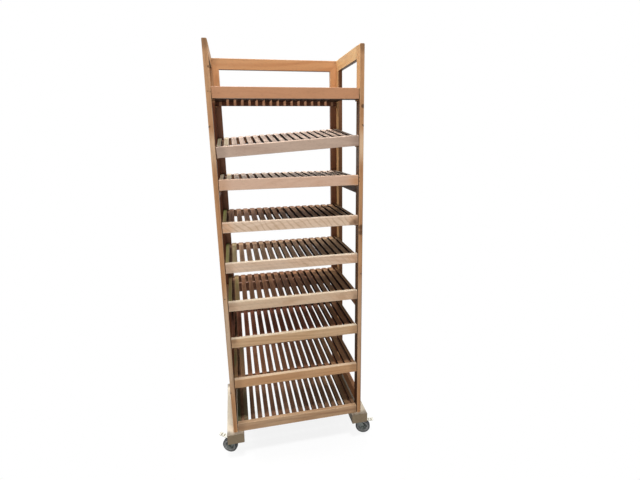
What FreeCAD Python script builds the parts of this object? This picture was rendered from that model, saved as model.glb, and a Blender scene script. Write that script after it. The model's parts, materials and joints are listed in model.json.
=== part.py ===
import FreeCAD, Part
import math
import os
import Sketcher

# Bakery bread rack: two wooden side frames on base beams, a back frame, nine
# loose slatted shelves on dowel pins, and four swivel castors, two with brakes.
# Millimetres. +Z is up, the open front faces -Y, left is -X. The origin is on
# the floor, under the middle of the rack.

SIZES = {
    # Side frames: front and back post with four rungs, all one board thickness
    "frame_width": 642,          # over the outer faces of the posts
    "frame_depth": 390,          # front face to back face of the posts
    "board_thickness": 20,
    "post_length": 1745,
    "post_depth": 46,
    "post_top_radius": 4,
    "rung_height": 58,
    "upper_rung_height": 46,
    "top_rail_height": 53,
    "bottom_rung_height": 48,    # its underside, above the beams
    "rung_rise": 6,              # upper and middle rung tops, above their shelf's underside
    "tenon_length": 24,
    "tenon_thickness": 9,
    "tenon_shoulder": 16,        # wood left above and below a rung's tenon
    "foot_tenon_length": 30,     # post foot in the beam
    "foot_tenon_shoulder": 7,
    "glue_room": 1,              # past the end of every tenon and screw
    "edge_radius": 1.5,          # eased edges of the boards
    "fitting_hole_diameter": 5,  # old fitting hole in the front of each front post
    "fitting_hole_depth": 15,
    "fitting_hole_inset": 5.5,   # from the post's outer face
    "fitting_hole_height": 1425,
    # Back frame: top rail mitred to two stiles, lapped behind the back posts,
    # and a middle rail glued between the stiles
    "back_rail_height": 50,
    "middle_rail_height": 48,
    "middle_rail_drop": 12,      # its top, below the sixth shelf's underside
    "stile_width": 50,
    # Base beams
    "beam_width": 80,
    "beam_height": 50,
    "beam_side_overhang": 31,
    "beam_front_overhang": 17,
    "beam_edge_radius": 3,
    # Shelves: front rail, slats from front to back, a batten under their front
    # ends, a spacer in the first and last gap, and a notched rail at their back ends
    "side_gap": 3,               # between a shelf and each side frame
    "back_gap": 3,
    "rail_height": 44,
    "rail_thickness": 21,
    "slat_count": 18,
    "slat_width": 22,
    "end_slat_width": 17,        # first and last slat of each shelf
    "slat_thickness": 18,
    "slat_drop": 7,              # slat tops below the top of the rail
    "slat_edge_radius": 1,
    "batten_depth": 30,
    "wide_batten_depth": 54,     # on the eighth shelf
    "spacer_height": 10,
    "notched_rail_thickness": 14,
    "notched_rail_drop": 3,      # its teeth, below the slat tops
    # Each shelf's underside above that of the one below it, the eighth's above the beams
    "shelf_1_rise": 210,
    "shelf_2_rise": 150,
    "shelf_3_rise": 180,
    "shelf_4_rise": 180,
    "shelf_5_rise": 180,
    "shelf_6_rise": 180,
    "shelf_7_rise": 210,
    "shelf_8_rise": 240,
    # The second shelf is set askew: back raised, left side low
    "shelf_2_tilt": 6.5,
    "shelf_2_roll": 3.74,
    # Dowel pins under the shelves
    "pin_diameter": 8,
    "pin_reach": 10,             # out of the post
    "pin_depth": 12,             # into the post
    "front_pin_setback": 27,     # from the front face of the side frame
    "back_pin_setback": 10,      # from its back face, under the notched rails
    "seat_clearance": 0.2,       # between a shelf and what carries it
    # Screws: stiles to back posts, castor plates to beams
    "screw_diameter": 5,
    "screw_length": 40,
    "screw_head_diameter": 10,
    "screw_head_height": 3,
    "stile_screw_count": 5,
    "stile_screw_margin": 130,   # first and last screw, from the ends of the stile
    # Castors: plate with a pressed race, fork on a kingpin, wheel on an axle bolt
    "castor_height": 100,
    "castor_setback": 45,        # kingpin, behind the front face of the posts
    "plate_width": 70,
    "plate_length": 100,
    "plate_thickness": 3,
    "plate_corner_radius": 4,
    "plate_hole_diameter": 6,
    "plate_hole_inset": 9,
    "race_diameter": 46,
    "race_drop": 5,              # race below the plate
    "race_recess_diameter": 24,
    "race_recess_depth": 4,
    "swivel_gap": 0.3,
    "kingpin_diameter": 10,
    "kingpin_head_diameter": 18,
    "kingpin_head_height": 2.7,
    "bearing_clearance": 0.05,   # radial, kingpin and axle in their bores
    "crown_thickness": 3,
    "crown_diameter": 44,
    "leg_thickness": 2.5,
    "leg_heel_height": 6,        # legs below the crown, at their front ends
    "leg_clearance": 0.75,       # between hub and leg
    "axle_boss_radius": 12,
    "axle_diameter": 8,
    "axle_head_size": 7,         # corner radius of the bolt head and nut
    "axle_head_height": 4,
    "wheel_diameter": 75,
    "wheel_width": 24,
    "wheel_trail": 35,           # axle behind kingpin
    "tread_shoulder_radius": 6,
    "hub_diameter": 52,
    "hub_width": 20,
    "hub_recess_diameter": 42,
    "hub_recess_depth": 3,
    "hub_boss_diameter": 18,
    "hub_length": 25.5,
    "front_left_swivel": -24,    # each castor, turned about its kingpin from straight outward
    "front_right_swivel": -18,
    "back_left_swivel": -125,
    "back_right_swivel": -18,
    # Brake pedals of the front castors
    "pedal_pivot_reach": 20,     # pivot from the kingpin
    "pedal_pivot_height": 79,
    "pedal_pin_diameter": 4,
    "pedal_barrel_radius": 3.5,
    "pedal_width": 24,
    "pedal_thickness": 2.5,
    "pedal_flat_reach": 72,      # end of the flat, from the kingpin
    "pedal_tip_reach": 90,
    "pedal_tip_rise": 3,
    "brake_gap": 0.3,            # pressed pedal above the tread
    "brake_travel": 12,          # degrees from pressed to released
}

doc = FreeCAD.newDocument("BreadRack")
sheet = doc.addObject("Spreadsheet::Sheet", "Sizes")
for row, (alias, size) in enumerate(SIZES.items(), start=1):
    sheet.set(f"A{row}", alias)
    sheet.set(f"B{row}", str(size))
    sheet.setAlias(f"B{row}", alias)
doc.recompute()

# Derived levels and lengths, as expressions on the sheet
BEAM_TOP = "(Sizes.castor_height + Sizes.beam_height)"
OUTER_X = "(Sizes.frame_width / 2)"
INNER_X = "(Sizes.frame_width / 2 - Sizes.board_thickness)"
TOTAL_DEPTH = "(Sizes.beam_front_overhang + Sizes.frame_depth + Sizes.board_thickness)"
FRONT_Y = f"(Sizes.beam_front_overhang - {TOTAL_DEPTH} / 2)"
BACK_Y = f"({FRONT_Y} + Sizes.frame_depth)"
RUNG_LENGTH = "(Sizes.frame_depth - 2 * Sizes.post_depth)"
FOOT_TENON_DEPTH = "(Sizes.post_depth - 2 * Sizes.foot_tenon_shoulder)"
TENON_INSET = "((Sizes.board_thickness - Sizes.tenon_thickness) / 2)"
SHELF_WIDTH = "(Sizes.frame_width - 2 * Sizes.board_thickness - 2 * Sizes.side_gap)"
SHELF_DEPTH = "(Sizes.frame_depth - Sizes.back_gap)"
SLAT_LENGTH = f"({SHELF_DEPTH} - Sizes.rail_thickness)"
SLAT_UNDERSIDE = "(Sizes.rail_height - Sizes.slat_drop - Sizes.slat_thickness)"
SLAT_WOOD = "(2 * Sizes.end_slat_width + (Sizes.slat_count - 2) * Sizes.slat_width)"
SLAT_GAP = f"(({SHELF_WIDTH} - {SLAT_WOOD}) / (Sizes.slat_count - 1))"
SLAT_PITCH = f"(Sizes.slat_width + {SLAT_GAP})"
BEAM_CENTRE_X = f"({OUTER_X} + Sizes.beam_side_overhang - Sizes.beam_width / 2)"
RACE_BOTTOM = "(Sizes.castor_height - Sizes.plate_thickness - Sizes.race_drop)"
CROWN_TOP = f"({RACE_BOTTOM} - Sizes.swivel_gap)"
CROWN_BOTTOM = f"({CROWN_TOP} - Sizes.crown_thickness)"
AXLE_HEIGHT = "(Sizes.wheel_diameter / 2)"
FORK_GAP = "(Sizes.hub_length + 2 * Sizes.leg_clearance)"
FORK_WIDTH = f"({FORK_GAP} + 2 * Sizes.leg_thickness)"

# Undersides of the pinned shelves above the beams, added up from the eighth
PIN_SHELVES = range(1, 9)
SHELF_HEIGHTS = {
    shelf: "(" + " + ".join(f"Sizes.shelf_{k}_rise" for k in PIN_SHELVES[shelf - 1:]) + ")"
    for shelf in PIN_SHELVES
}

# Undersides of the rungs above the beams and their heights, from the bottom up
TALL, LOW, TOP = "Sizes.rung_height", "Sizes.upper_rung_height", "Sizes.top_rail_height"
RUNGS = {
    "bottom_rung": ("Sizes.bottom_rung_height", TALL),
    "middle_rung": (f"({SHELF_HEIGHTS[6]} + Sizes.rung_rise - {TALL})", TALL),
    "upper_rung": (f"({SHELF_HEIGHTS[3]} + Sizes.rung_rise - {LOW})", LOW),
    "top_rail": (f"(Sizes.post_length - {TOP})", TOP),
}
SIDES = {"left": -1, "right": 1}
AXES = {
    "X": ("YZ_Plane", 1, 2, 0),
    "Y": ("XZ_Plane", 0, 2, 1),
    "Z": ("XY_Plane", 0, 1, 2),
}
TINY = 0.01
subparts = []


def bind(thing, prop, expression):
    """Drive a property by an expression on the sheet."""
    thing.setExpression(prop, expression)


def at(x, y, z):
    """A placement at a point, with no turn."""
    return f"placement(vector({x}; {y}; {z}); rotation(vector(0; 0; 1); 0))"


def turned(x, y, z, rotation):
    """A placement at a point, with a rotation."""
    return f"placement(vector({x}; {y}; {z}); {rotation})"


def turn(axis, angle):
    """A rotation about X, Y or Z by degrees."""
    direction = {"X": "1; 0; 0", "Y": "0; 1; 0", "Z": "0; 0; 1"}[axis]
    return f"rotation(vector({direction}); {angle})"


def keep(thing, label, placement):
    """Place a finished sub-part and list it for export."""
    thing.Label = label
    bind(thing, "Placement", placement)
    subparts.append(thing)
    return thing


# ---- Sketch and feature helpers ----

def new_body(label):
    """A body that may hold several separate solids."""
    body = doc.addObject("PartDesign::Body", label)
    body.AllowCompound = True
    return body


def new_sketch(body, name, role, lift="0"):
    """A sketch on one of the body's own origin planes, lifted along its normal."""
    plane = [f for f in body.Origin.OriginFeatures if f.Role == role][0]
    sketch = body.newObject("Sketcher::SketchObject", name)
    sketch.AttachmentSupport = [(plane, "")]
    sketch.MapMode = "FlatFace"
    bind(sketch, "AttachmentOffset.Base.z", lift)
    return sketch


def fix(sketch, constraint, expression):
    """Add a constraint whose value is an expression."""
    index = sketch.addConstraint(constraint)
    bind(sketch, f"Constraints[{index}]", expression)


def place_point(sketch, element, point, x, y):
    """Fix one point of a sketch at x, y from the sketch's origin."""
    fix(sketch, Sketcher.Constraint("DistanceX", -1, 1, element, point, 0.0), x)
    fix(sketch, Sketcher.Constraint("DistanceY", -1, 1, element, point, 0.0), y)


def polygon(sketch, corners):
    """A closed outline through corners given as pairs of expressions."""
    count = len(corners)
    first = sketch.GeometryCount
    angles = [2 * math.pi * i / count for i in range(count)]
    rough = [FreeCAD.Vector(1 - math.cos(a), -math.sin(a), 0) for a in angles]
    if count == 4:
        rough = [FreeCAD.Vector(x, y, 0) for x, y in ((0, 0), (1, 0), (1, 1), (0, 1))]
    for i in range(count):
        sketch.addGeometry(Part.LineSegment(rough[i], rough[(i + 1) % count]), False)
    for i in range(count):
        follower = first + (i + 1) % count
        sketch.addConstraint(Sketcher.Constraint("Coincident", first + i, 2, follower, 1))
    for i, (x, y) in enumerate(corners):
        place_point(sketch, first + i, 1, x, y)


def rectangle(sketch, left, bottom, width, height):
    """An upright rectangle from its lower left corner."""
    right = f"({left} + {width})"
    top = f"({bottom} + {height})"
    polygon(sketch, [(left, bottom), (right, bottom), (right, top), (left, top)])


def circle(sketch, x, y, diameter):
    """A circle about x, y."""
    centre = FreeCAD.Vector(1, 1, 0)
    index = sketch.addGeometry(Part.Circle(centre, FreeCAD.Vector(0, 0, 1), 1.0), False)
    fix(sketch, Sketcher.Constraint("Diameter", index, 2.0), diameter)
    place_point(sketch, index, 3, x, y)


def extrude(body, kind, name, sketch, length, reverse=False):
    """Pad or Pocket a sketch, and for a Pocket make sure that it cut something."""
    before = body.Shape.Volume if kind == "Pocket" else 0
    feature = body.newObject(f"PartDesign::{kind}", name)
    feature.Profile = sketch
    feature.Reversed = reverse
    bind(feature, "Length", length)
    doc.recompute()
    if kind == "Pocket" and not body.Shape.Volume < before - TINY:
        raise RuntimeError(f"{body.Label}: {name} cuts nothing")
    return feature


def edge_boxes(feature):
    """The name and bounding box of every edge of a feature."""
    edges = enumerate(feature.Shape.Edges, start=1)
    return [(f"Edge{number}", edge.BoundBox) for number, edge in edges]


def fillet(body, name, feature, edge_names, radius):
    """Round named edges of a feature."""
    rounding = body.newObject("PartDesign::Fillet", name)
    rounding.Base = (feature, edge_names)
    bind(rounding, "Radius", radius)
    doc.recompute()
    return rounding


def ease(body, feature, along, radius):
    """Round the straight edges that run along one axis."""
    component = "XYZ".index(along)
    names = []
    for number, edge in enumerate(feature.Shape.Edges, start=1):
        if abs(edge.tangentAt(edge.FirstParameter)[component]) > 0.999:
            names.append(f"Edge{number}")
    return fillet(body, "EasedEdges", feature, names, radius)


def board(label, along, size, radius="Sizes.edge_radius"):
    """A straight board from its own corner, sawn to size along one axis, edges eased."""
    role, first, second, length = AXES[along]
    body = new_body(label)
    section = new_sketch(body, "Section", role)
    rectangle(section, "0", "0", size[first], size[second])
    pad = extrude(body, "Pad", "Board", section, size[length], along == "Y")
    ease(body, pad, along, radius)
    return body


# ---- Side frames ----

def shelf_plane_height(x, y):
    """Underside of the askew shelf above the beams, at x and y from its front middle."""
    across = f"{x} * tan(Sizes.shelf_2_roll) / cos(Sizes.shelf_2_tilt)"
    back = f"{y} * tan(Sizes.shelf_2_tilt)"
    return f"({SHELF_HEIGHTS[2]} + {across} + {back})"


def pin_height(shelf, side, y):
    """Centre of a shelf's pin above the beams."""
    if shelf != 2:
        return f"({SHELF_HEIGHTS[shelf]} - Sizes.seat_clearance - Sizes.pin_diameter / 2)"
    if side < 0:
        contact = f"(Sizes.side_gap - {INNER_X})"
    else:
        contact = f"({INNER_X} - Sizes.pin_reach)"
    underside = shelf_plane_height(contact, y)
    below = "Sizes.pin_diameter / 2 / cos(Sizes.shelf_2_tilt)"
    return f"({underside} - Sizes.seat_clearance - {below})"


def tenon_height(rung_height):
    """Height of a rung's tenon, between its shoulders."""
    return f"({rung_height} - 2 * Sizes.tenon_shoulder)"


PIN_ROWS = {
    "front": "Sizes.front_pin_setback",
    "back": "(Sizes.frame_depth - Sizes.back_pin_setback)",
}


def post(side_name, end):
    """A post with its pin holes, mortises for the rungs, foot tenon and rounded top."""
    side = SIDES[side_name]
    size = ("Sizes.board_thickness", "Sizes.post_depth", "Sizes.post_length")
    body = new_body(f"{side_name}_{end}_post")
    section = new_sketch(body, "Section", "XY_Plane")
    rectangle(section, "0", "0", size[0], size[1])
    pad = extrude(body, "Pad", "Board", section, size[2])
    top = [n for n, box in edge_boxes(pad) if box.ZMin > TINY and box.XLength < TINY]
    rounding = fillet(body, "RoundedTop", pad, top, "Sizes.post_top_radius")
    outline = [n for n, box in edge_boxes(rounding) if box.ZMax > TINY and box.YLength < TINY]
    fillet(body, "EasedEdges", rounding, outline, "Sizes.edge_radius")

    foot = new_sketch(body, "FootTenonSection", "XY_Plane")
    rectangle(foot, TENON_INSET, "Sizes.foot_tenon_shoulder",
              "Sizes.tenon_thickness", FOOT_TENON_DEPTH)
    extrude(body, "Pad", "FootTenon", foot, "Sizes.foot_tenon_length", True)

    rung_face = "Sizes.post_depth" if end == "front" else "0"
    mortises = new_sketch(body, "MortiseOutlines", "XZ_Plane", f"-{rung_face}")
    for underside, height in RUNGS.values():
        rectangle(mortises, TENON_INSET, f"({underside} + Sizes.tenon_shoulder)",
                  "Sizes.tenon_thickness", tenon_height(height))
    depth = "(Sizes.tenon_length + Sizes.glue_room)"
    extrude(body, "Pocket", "Mortises", mortises, depth, end == "front")

    row = PIN_ROWS[end]
    local_y = row if end == "front" else f"({row} - Sizes.frame_depth + Sizes.post_depth)"
    inner_face = "Sizes.board_thickness" if side < 0 else "0"
    holes = new_sketch(body, "PinHoleCircles", "YZ_Plane", inner_face)
    for shelf in PIN_SHELVES:
        circle(holes, local_y, pin_height(shelf, side, row), "Sizes.pin_diameter")
    extrude(body, "Pocket", "PinHoles", holes, "Sizes.pin_depth", side > 0)

    if end == "front":
        inset = "Sizes.fitting_hole_inset"
        hole_x = inset if side < 0 else f"(Sizes.board_thickness - {inset})"
        hole = new_sketch(body, "FittingHoleCircle", "XZ_Plane")
        circle(hole, hole_x, "Sizes.fitting_hole_height", "Sizes.fitting_hole_diameter")
        extrude(body, "Pocket", "FittingHole", hole, "Sizes.fitting_hole_depth")
    else:
        pilots = new_sketch(body, "PilotHoleCircles", "XZ_Plane", "-Sizes.post_depth")
        for height in stile_screw_heights():
            circle(pilots, "(Sizes.board_thickness / 2)", height, "Sizes.screw_diameter")
        depth = "(Sizes.screw_length - Sizes.board_thickness + Sizes.glue_room)"
        extrude(body, "Pocket", "PilotHoles", pilots, depth, True)

    x = f"-{OUTER_X}" if side < 0 else INNER_X
    y = FRONT_Y if end == "front" else f"({BACK_Y} - Sizes.post_depth)"
    return keep(body, body.Label, at(x, y, BEAM_TOP))


def rung(side_name, name):
    """A rung between the posts of one side frame, tenoned into both."""
    underside, height = RUNGS[name]
    size = ("Sizes.board_thickness", RUNG_LENGTH, height)
    body = board(f"{side_name}_{name}", "Y", size)
    tenon = new_sketch(body, "TenonSection", "XZ_Plane", "Sizes.tenon_length")
    rectangle(tenon, TENON_INSET, "Sizes.tenon_shoulder", "Sizes.tenon_thickness",
              tenon_height(height))
    extrude(body, "Pad", "Tenons", tenon, f"({RUNG_LENGTH} + 2 * Sizes.tenon_length)", True)
    x = f"-{OUTER_X}" if SIDES[side_name] < 0 else INNER_X
    y = f"({FRONT_Y} + Sizes.post_depth)"
    return keep(body, body.Label, at(x, y, f"({BEAM_TOP} + {underside})"))


# ---- Back frame ----

def stile_screw_heights():
    """Heights of the stile screws above the beams."""
    count = SIZES["stile_screw_count"]
    span = "(Sizes.post_length - 2 * Sizes.stile_screw_margin)"
    step = f"{span} / (Sizes.stile_screw_count - 1)"
    return [f"(Sizes.stile_screw_margin + {i} * {step})" for i in range(count)]


def stile_screw_x():
    """Distance of the stile screws from the stile's outer edge."""
    return "(Sizes.board_thickness / 2)"


def stile(side_name):
    """A back stile on its beam, mitred at the top and drilled for its screws."""
    side = SIDES[side_name]
    width = "Sizes.stile_width"
    tall = "Sizes.post_length"
    short = "(Sizes.post_length - Sizes.back_rail_height)"
    tops = (tall, short) if side < 0 else (short, tall)
    body = new_body(f"back_{side_name}_stile")
    outline = new_sketch(body, "Outline", "XZ_Plane")
    polygon(outline, [("0", "0"), (width, "0"), (width, tops[1]), ("0", tops[0])])
    pad = extrude(body, "Pad", "Board", outline, "Sizes.board_thickness", True)
    ease(body, pad, "Z", "Sizes.edge_radius")
    screw_x = stile_screw_x() if side < 0 else f"({width} - {stile_screw_x()})"
    holes = new_sketch(body, "ScrewHoleCircles", "XZ_Plane")
    for height in stile_screw_heights():
        circle(holes, screw_x, height, "Sizes.screw_diameter")
    extrude(body, "Pocket", "ScrewHoles", holes, "Sizes.board_thickness")
    x = f"-{OUTER_X}" if side < 0 else f"({OUTER_X} - {width})"
    return keep(body, body.Label, at(x, BACK_Y, BEAM_TOP))


def back_rails():
    """The rails between the stiles: the top one mitred at its ends, the middle one square."""
    inner = "Sizes.stile_width"
    far = "(Sizes.frame_width - Sizes.stile_width)"
    high = "Sizes.post_length"
    low = "(Sizes.post_length - Sizes.back_rail_height)"
    middle = f"({SHELF_HEIGHTS[6]} - Sizes.middle_rail_drop - Sizes.middle_rail_height)"
    body = new_body("back_rails")
    outline = new_sketch(body, "Outlines", "XZ_Plane")
    polygon(outline, [(inner, low), (far, low), ("Sizes.frame_width", high), ("0", high)])
    rectangle(outline, inner, middle, f"({far} - {inner})", "Sizes.middle_rail_height")
    pad = extrude(body, "Pad", "Boards", outline, "Sizes.board_thickness", True)
    ease(body, pad, "X", "Sizes.edge_radius")
    return keep(body, body.Label, at(f"-{OUTER_X}", BACK_Y, BEAM_TOP))


# ---- Base beams ----

def castor_ys():
    """Kingpin positions from front to back, measured along Y."""
    front = f"({FRONT_Y} + Sizes.castor_setback)"
    back = f"({BACK_Y} - Sizes.castor_setback)"
    return {"front": front, "back": back}


def plate_hole_offsets():
    """The four screw holes of a castor plate, from the kingpin."""
    x = "(Sizes.plate_width / 2 - Sizes.plate_hole_inset)"
    y = "(Sizes.plate_length / 2 - Sizes.plate_hole_inset)"
    return [(f"{i} * {x}", f"{j} * {y}") for i in (-1, 1) for j in (-1, 1)]


def beam(side_name):
    """A base beam with mortises for the posts and pilot holes for the castor screws."""
    side = SIDES[side_name]
    body = board(f"{side_name}_base_beam", "Y",
                 ("Sizes.beam_width", TOTAL_DEPTH, "Sizes.beam_height"),
                 "Sizes.beam_edge_radius")
    post_x = "Sizes.beam_side_overhang" if side < 0 else (
        "(Sizes.beam_width - Sizes.beam_side_overhang - Sizes.board_thickness)")
    mortises = new_sketch(body, "MortiseOutlines", "XY_Plane", "Sizes.beam_height")
    for start in ("0", "(Sizes.frame_depth - Sizes.post_depth)"):
        y = f"(Sizes.beam_front_overhang + {start} + Sizes.foot_tenon_shoulder)"
        rectangle(mortises, f"({post_x} + {TENON_INSET})", y,
                  "Sizes.tenon_thickness", FOOT_TENON_DEPTH)
    depth = "(Sizes.foot_tenon_length + Sizes.glue_room)"
    extrude(body, "Pocket", "Mortises", mortises, depth)

    pilots = new_sketch(body, "PilotHoleCircles", "XY_Plane")
    for y in castor_ys().values():
        for dx, dy in plate_hole_offsets():
            circle(pilots, f"(Sizes.beam_width / 2 + {dx})",
                   f"({y} + {TOTAL_DEPTH} / 2 + {dy})", "Sizes.screw_diameter")
    depth = "(Sizes.screw_length - Sizes.plate_thickness + Sizes.glue_room)"
    extrude(body, "Pocket", "PilotHoles", pilots, depth, True)
    x = f"({side} * {BEAM_CENTRE_X} - Sizes.beam_width / 2)"
    return keep(body, body.Label, at(x, f"-{TOTAL_DEPTH} / 2", "Sizes.castor_height"))


# ---- Shelves ----

def shelf_frame(number):
    """Placement of a shelf: the middle of its front face, on its underside."""
    if number == 9:
        return at("0", FRONT_Y, f"({BEAM_TOP} + Sizes.seat_clearance)")
    z = f"({BEAM_TOP} + {SHELF_HEIGHTS[number]})"
    if number != 2:
        return at("0", FRONT_Y, z)
    shift = "(Sizes.rail_height * sin(Sizes.shelf_2_roll) / 2)"
    rotation = f"{turn('X', 'Sizes.shelf_2_tilt')} * {turn('Y', '-Sizes.shelf_2_roll')}"
    return turned(shift, FRONT_Y, z, rotation)


def repeat(body, name, feature, count):
    """Repeat a feature of a shelf across it, one slat and one gap apart."""
    row = body.newObject("PartDesign::LinearPattern", name)
    row.Originals = [feature]
    across = [f for f in body.Origin.OriginFeatures if f.Role == "X_Axis"][0]
    row.Direction = (across, [""])
    row.Mode = "Spacing"
    bind(row, "Offset", SLAT_PITCH)
    bind(row, "Occurrences", count)
    body.Tip = row
    doc.recompute()
    return row


def slats(number):
    """The slats of a shelf, evenly spaced, the two outer ones narrower."""
    body = new_body(f"shelf_{number}_slats")
    ends = new_sketch(body, "EndSlatSections", "XZ_Plane")
    for start in ("0", f"({SHELF_WIDTH} - Sizes.end_slat_width)"):
        rectangle(ends, start, "0", "Sizes.end_slat_width", "Sizes.slat_thickness")
    extrude(body, "Pad", "EndSlats", ends, SLAT_LENGTH, True)
    section = new_sketch(body, "SlatSection", "XZ_Plane")
    rectangle(section, f"(Sizes.end_slat_width + {SLAT_GAP})", "0",
              "Sizes.slat_width", "Sizes.slat_thickness")
    slat = extrude(body, "Pad", "Slat", section, SLAT_LENGTH, True)
    row = repeat(body, "SlatRow", slat, "Sizes.slat_count - 2")
    ease(body, row, "Y", "Sizes.slat_edge_radius")
    return body


def battens(number):
    """The front batten, the notched rail at the slats' back ends, and the two spacers."""
    depth = "Sizes.wide_batten_depth" if number == 8 else "Sizes.batten_depth"
    thickness = "Sizes.notched_rail_thickness"
    rail = f"({SLAT_LENGTH} - {thickness})"
    across = new_body(f"shelf_{number}_cross_boards")
    sections = new_sketch(across, "CrossSections", "YZ_Plane")
    rectangle(sections, "0", "0", depth, SLAT_UNDERSIDE)
    rectangle(sections, rail, "0", thickness, SLAT_UNDERSIDE)
    pad = extrude(across, "Pad", "CrossBoards", sections, SHELF_WIDTH)
    ease(across, pad, "X", "Sizes.slat_edge_radius")
    outline = new_sketch(across, "ToothOutline", "XZ_Plane", f"-({rail} + Sizes.slat_edge_radius)")
    rectangle(outline, "Sizes.end_slat_width", SLAT_UNDERSIDE, SLAT_GAP,
              "(Sizes.slat_thickness - Sizes.notched_rail_drop)")
    tooth = extrude(across, "Pad", "Tooth", outline,
                    f"({thickness} - 2 * Sizes.slat_edge_radius)", True)
    repeat(across, "Teeth", tooth, "Sizes.slat_count - 1")

    spacers = new_body(f"shelf_{number}_spacers")
    sections = new_sketch(spacers, "SpacerSections", "XZ_Plane")
    last_gap = f"({SHELF_WIDTH} - Sizes.end_slat_width - {SLAT_GAP})"
    for start in ("Sizes.end_slat_width", last_gap):
        rectangle(sections, start, SLAT_UNDERSIDE, SLAT_GAP, "Sizes.spacer_height")
    pad = extrude(spacers, "Pad", "Spacers", sections, f"({rail} + Sizes.slat_edge_radius)", True)
    ease(spacers, pad, "Y", "Sizes.slat_edge_radius")
    group = doc.addObject("Part::Compound", f"shelf_{number}_battens")
    group.Links = [across, spacers]
    return group


def shelf(number):
    """A shelf: front rail, slats behind it, and the battens that carry the slats."""
    frame = shelf_frame(number)
    left = f"-{SHELF_WIDTH} / 2"
    behind = "Sizes.rail_thickness"
    size = (SHELF_WIDTH, behind, "Sizes.rail_height")
    rail = board(f"shelf_{number}_front_rail", "X", size)
    keep(rail, rail.Label, f"{frame} * {at(left, '0', '0')}")
    keep(slats(number), f"shelf_{number}_slats", f"{frame} * {at(left, behind, SLAT_UNDERSIDE)}")
    keep(battens(number), f"shelf_{number}_battens", f"{frame} * {at(left, behind, '0')}")


def shelf_pins():
    """Dowel pins in the posts, four under each shelf but the lowest."""
    pins = []
    for shelf_number in PIN_SHELVES:
        for side_name, side in SIDES.items():
            for end, row in PIN_ROWS.items():
                pin = doc.addObject("Part::Cylinder", f"Pin{shelf_number}{side_name}{end}")
                bind(pin, "Radius", "Sizes.pin_diameter / 2")
                bind(pin, "Height", "Sizes.pin_depth + Sizes.pin_reach")
                x = f"(-{INNER_X} - Sizes.pin_depth)" if side < 0 else (
                    f"({INNER_X} - Sizes.pin_reach)")
                z = f"({BEAM_TOP} + {pin_height(shelf_number, side, row)})"
                bind(pin, "Placement", turned(x, f"({FRONT_Y} + {row})", z, turn("Y", "90")))
                pins.append(pin)
    group = doc.addObject("Part::Compound", "shelf_pins")
    group.Links = pins
    return keep(group, "shelf_pins", at("0", "0", "0"))


# ---- Castors ----
# Each castor is drawn about its kingpin, from the floor up, trailing along +X.

def castor_frame(side_name, end):
    """Placement of a castor, trailing outward."""
    side = SIDES[side_name]
    base = "180" if side < 0 else "0"
    swivel = turn("Z", f"({base} + Sizes.{end}_{side_name}_swivel)")
    return turned(f"({side} * {BEAM_CENTRE_X})", castor_ys()[end], "0", swivel)


def disc(body, name, x, y, diameter, bottom, height):
    """Pad an upright disc."""
    sketch = new_sketch(body, f"{name}Circle", "XY_Plane", bottom)
    circle(sketch, x, y, diameter)
    return extrude(body, "Pad", name, sketch, height)


def bore(body, name, x, y, diameter, bottom, depth):
    """Cut an upright round hole, up from its bottom."""
    sketch = new_sketch(body, f"{name}Circle", "XY_Plane", bottom)
    circle(sketch, x, y, diameter)
    return extrude(body, "Pocket", name, sketch, depth, True)


def cross_bore(body, name, x, z, diameter):
    """Drill a hole along Y through both legs of a fork."""
    sketch = new_sketch(body, f"{name}Circle", "XZ_Plane", f"{FORK_WIDTH} / 2")
    circle(sketch, x, z, diameter)
    return extrude(body, "Pocket", name, sketch, FORK_WIDTH)


def castor_plate(side_name, end):
    """A top plate with a pressed race, a recess for the kingpin's head and four holes."""
    body = new_body(f"{end}_{side_name}_castor_plate")
    underside = "(Sizes.castor_height - Sizes.plate_thickness)"
    outline = new_sketch(body, "PlateOutline", "XY_Plane", underside)
    rectangle(outline, "-Sizes.plate_width / 2", "-Sizes.plate_length / 2",
              "Sizes.plate_width", "Sizes.plate_length")
    pad = extrude(body, "Pad", "Plate", outline, "Sizes.plate_thickness")
    ease(body, pad, "Z", "Sizes.plate_corner_radius")
    disc(body, "Race", "0", "0", "Sizes.race_diameter", RACE_BOTTOM, "Sizes.race_drop")
    bore(body, "Recess", "0", "0", "Sizes.race_recess_diameter",
         "(Sizes.castor_height - Sizes.race_recess_depth)", "Sizes.race_recess_depth")
    bore(body, "KingpinBore", "0", "0",
         "(Sizes.kingpin_diameter + 2 * Sizes.bearing_clearance)",
         RACE_BOTTOM, "(Sizes.castor_height - Sizes.race_recess_depth)")
    holes = new_sketch(body, "ScrewHoleCircles", "XY_Plane", underside)
    for dx, dy in plate_hole_offsets():
        circle(holes, dx, dy, "Sizes.plate_hole_diameter")
    extrude(body, "Pocket", "ScrewHoles", holes, "Sizes.plate_thickness", True)
    x = f"({SIDES[side_name]} * {BEAM_CENTRE_X})"
    return keep(body, body.Label, at(x, castor_ys()[end], "0"))


def kingpin(name):
    """A rivet through crown and race, with a head in the plate's recess and one below."""
    body = new_body(name)
    head = "Sizes.kingpin_head_height"
    top = f"(Sizes.castor_height - Sizes.race_recess_depth + Sizes.swivel_gap)"
    disc(body, "LowerHead", "0", "0", "Sizes.kingpin_head_diameter",
         f"({CROWN_BOTTOM} - {head})", head)
    disc(body, "Shank", "0", "0", "Sizes.kingpin_diameter",
         CROWN_BOTTOM, f"({top} - {CROWN_BOTTOM})")
    disc(body, "UpperHead", "0", "0", "Sizes.kingpin_head_diameter", top, head)
    return body


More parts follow.
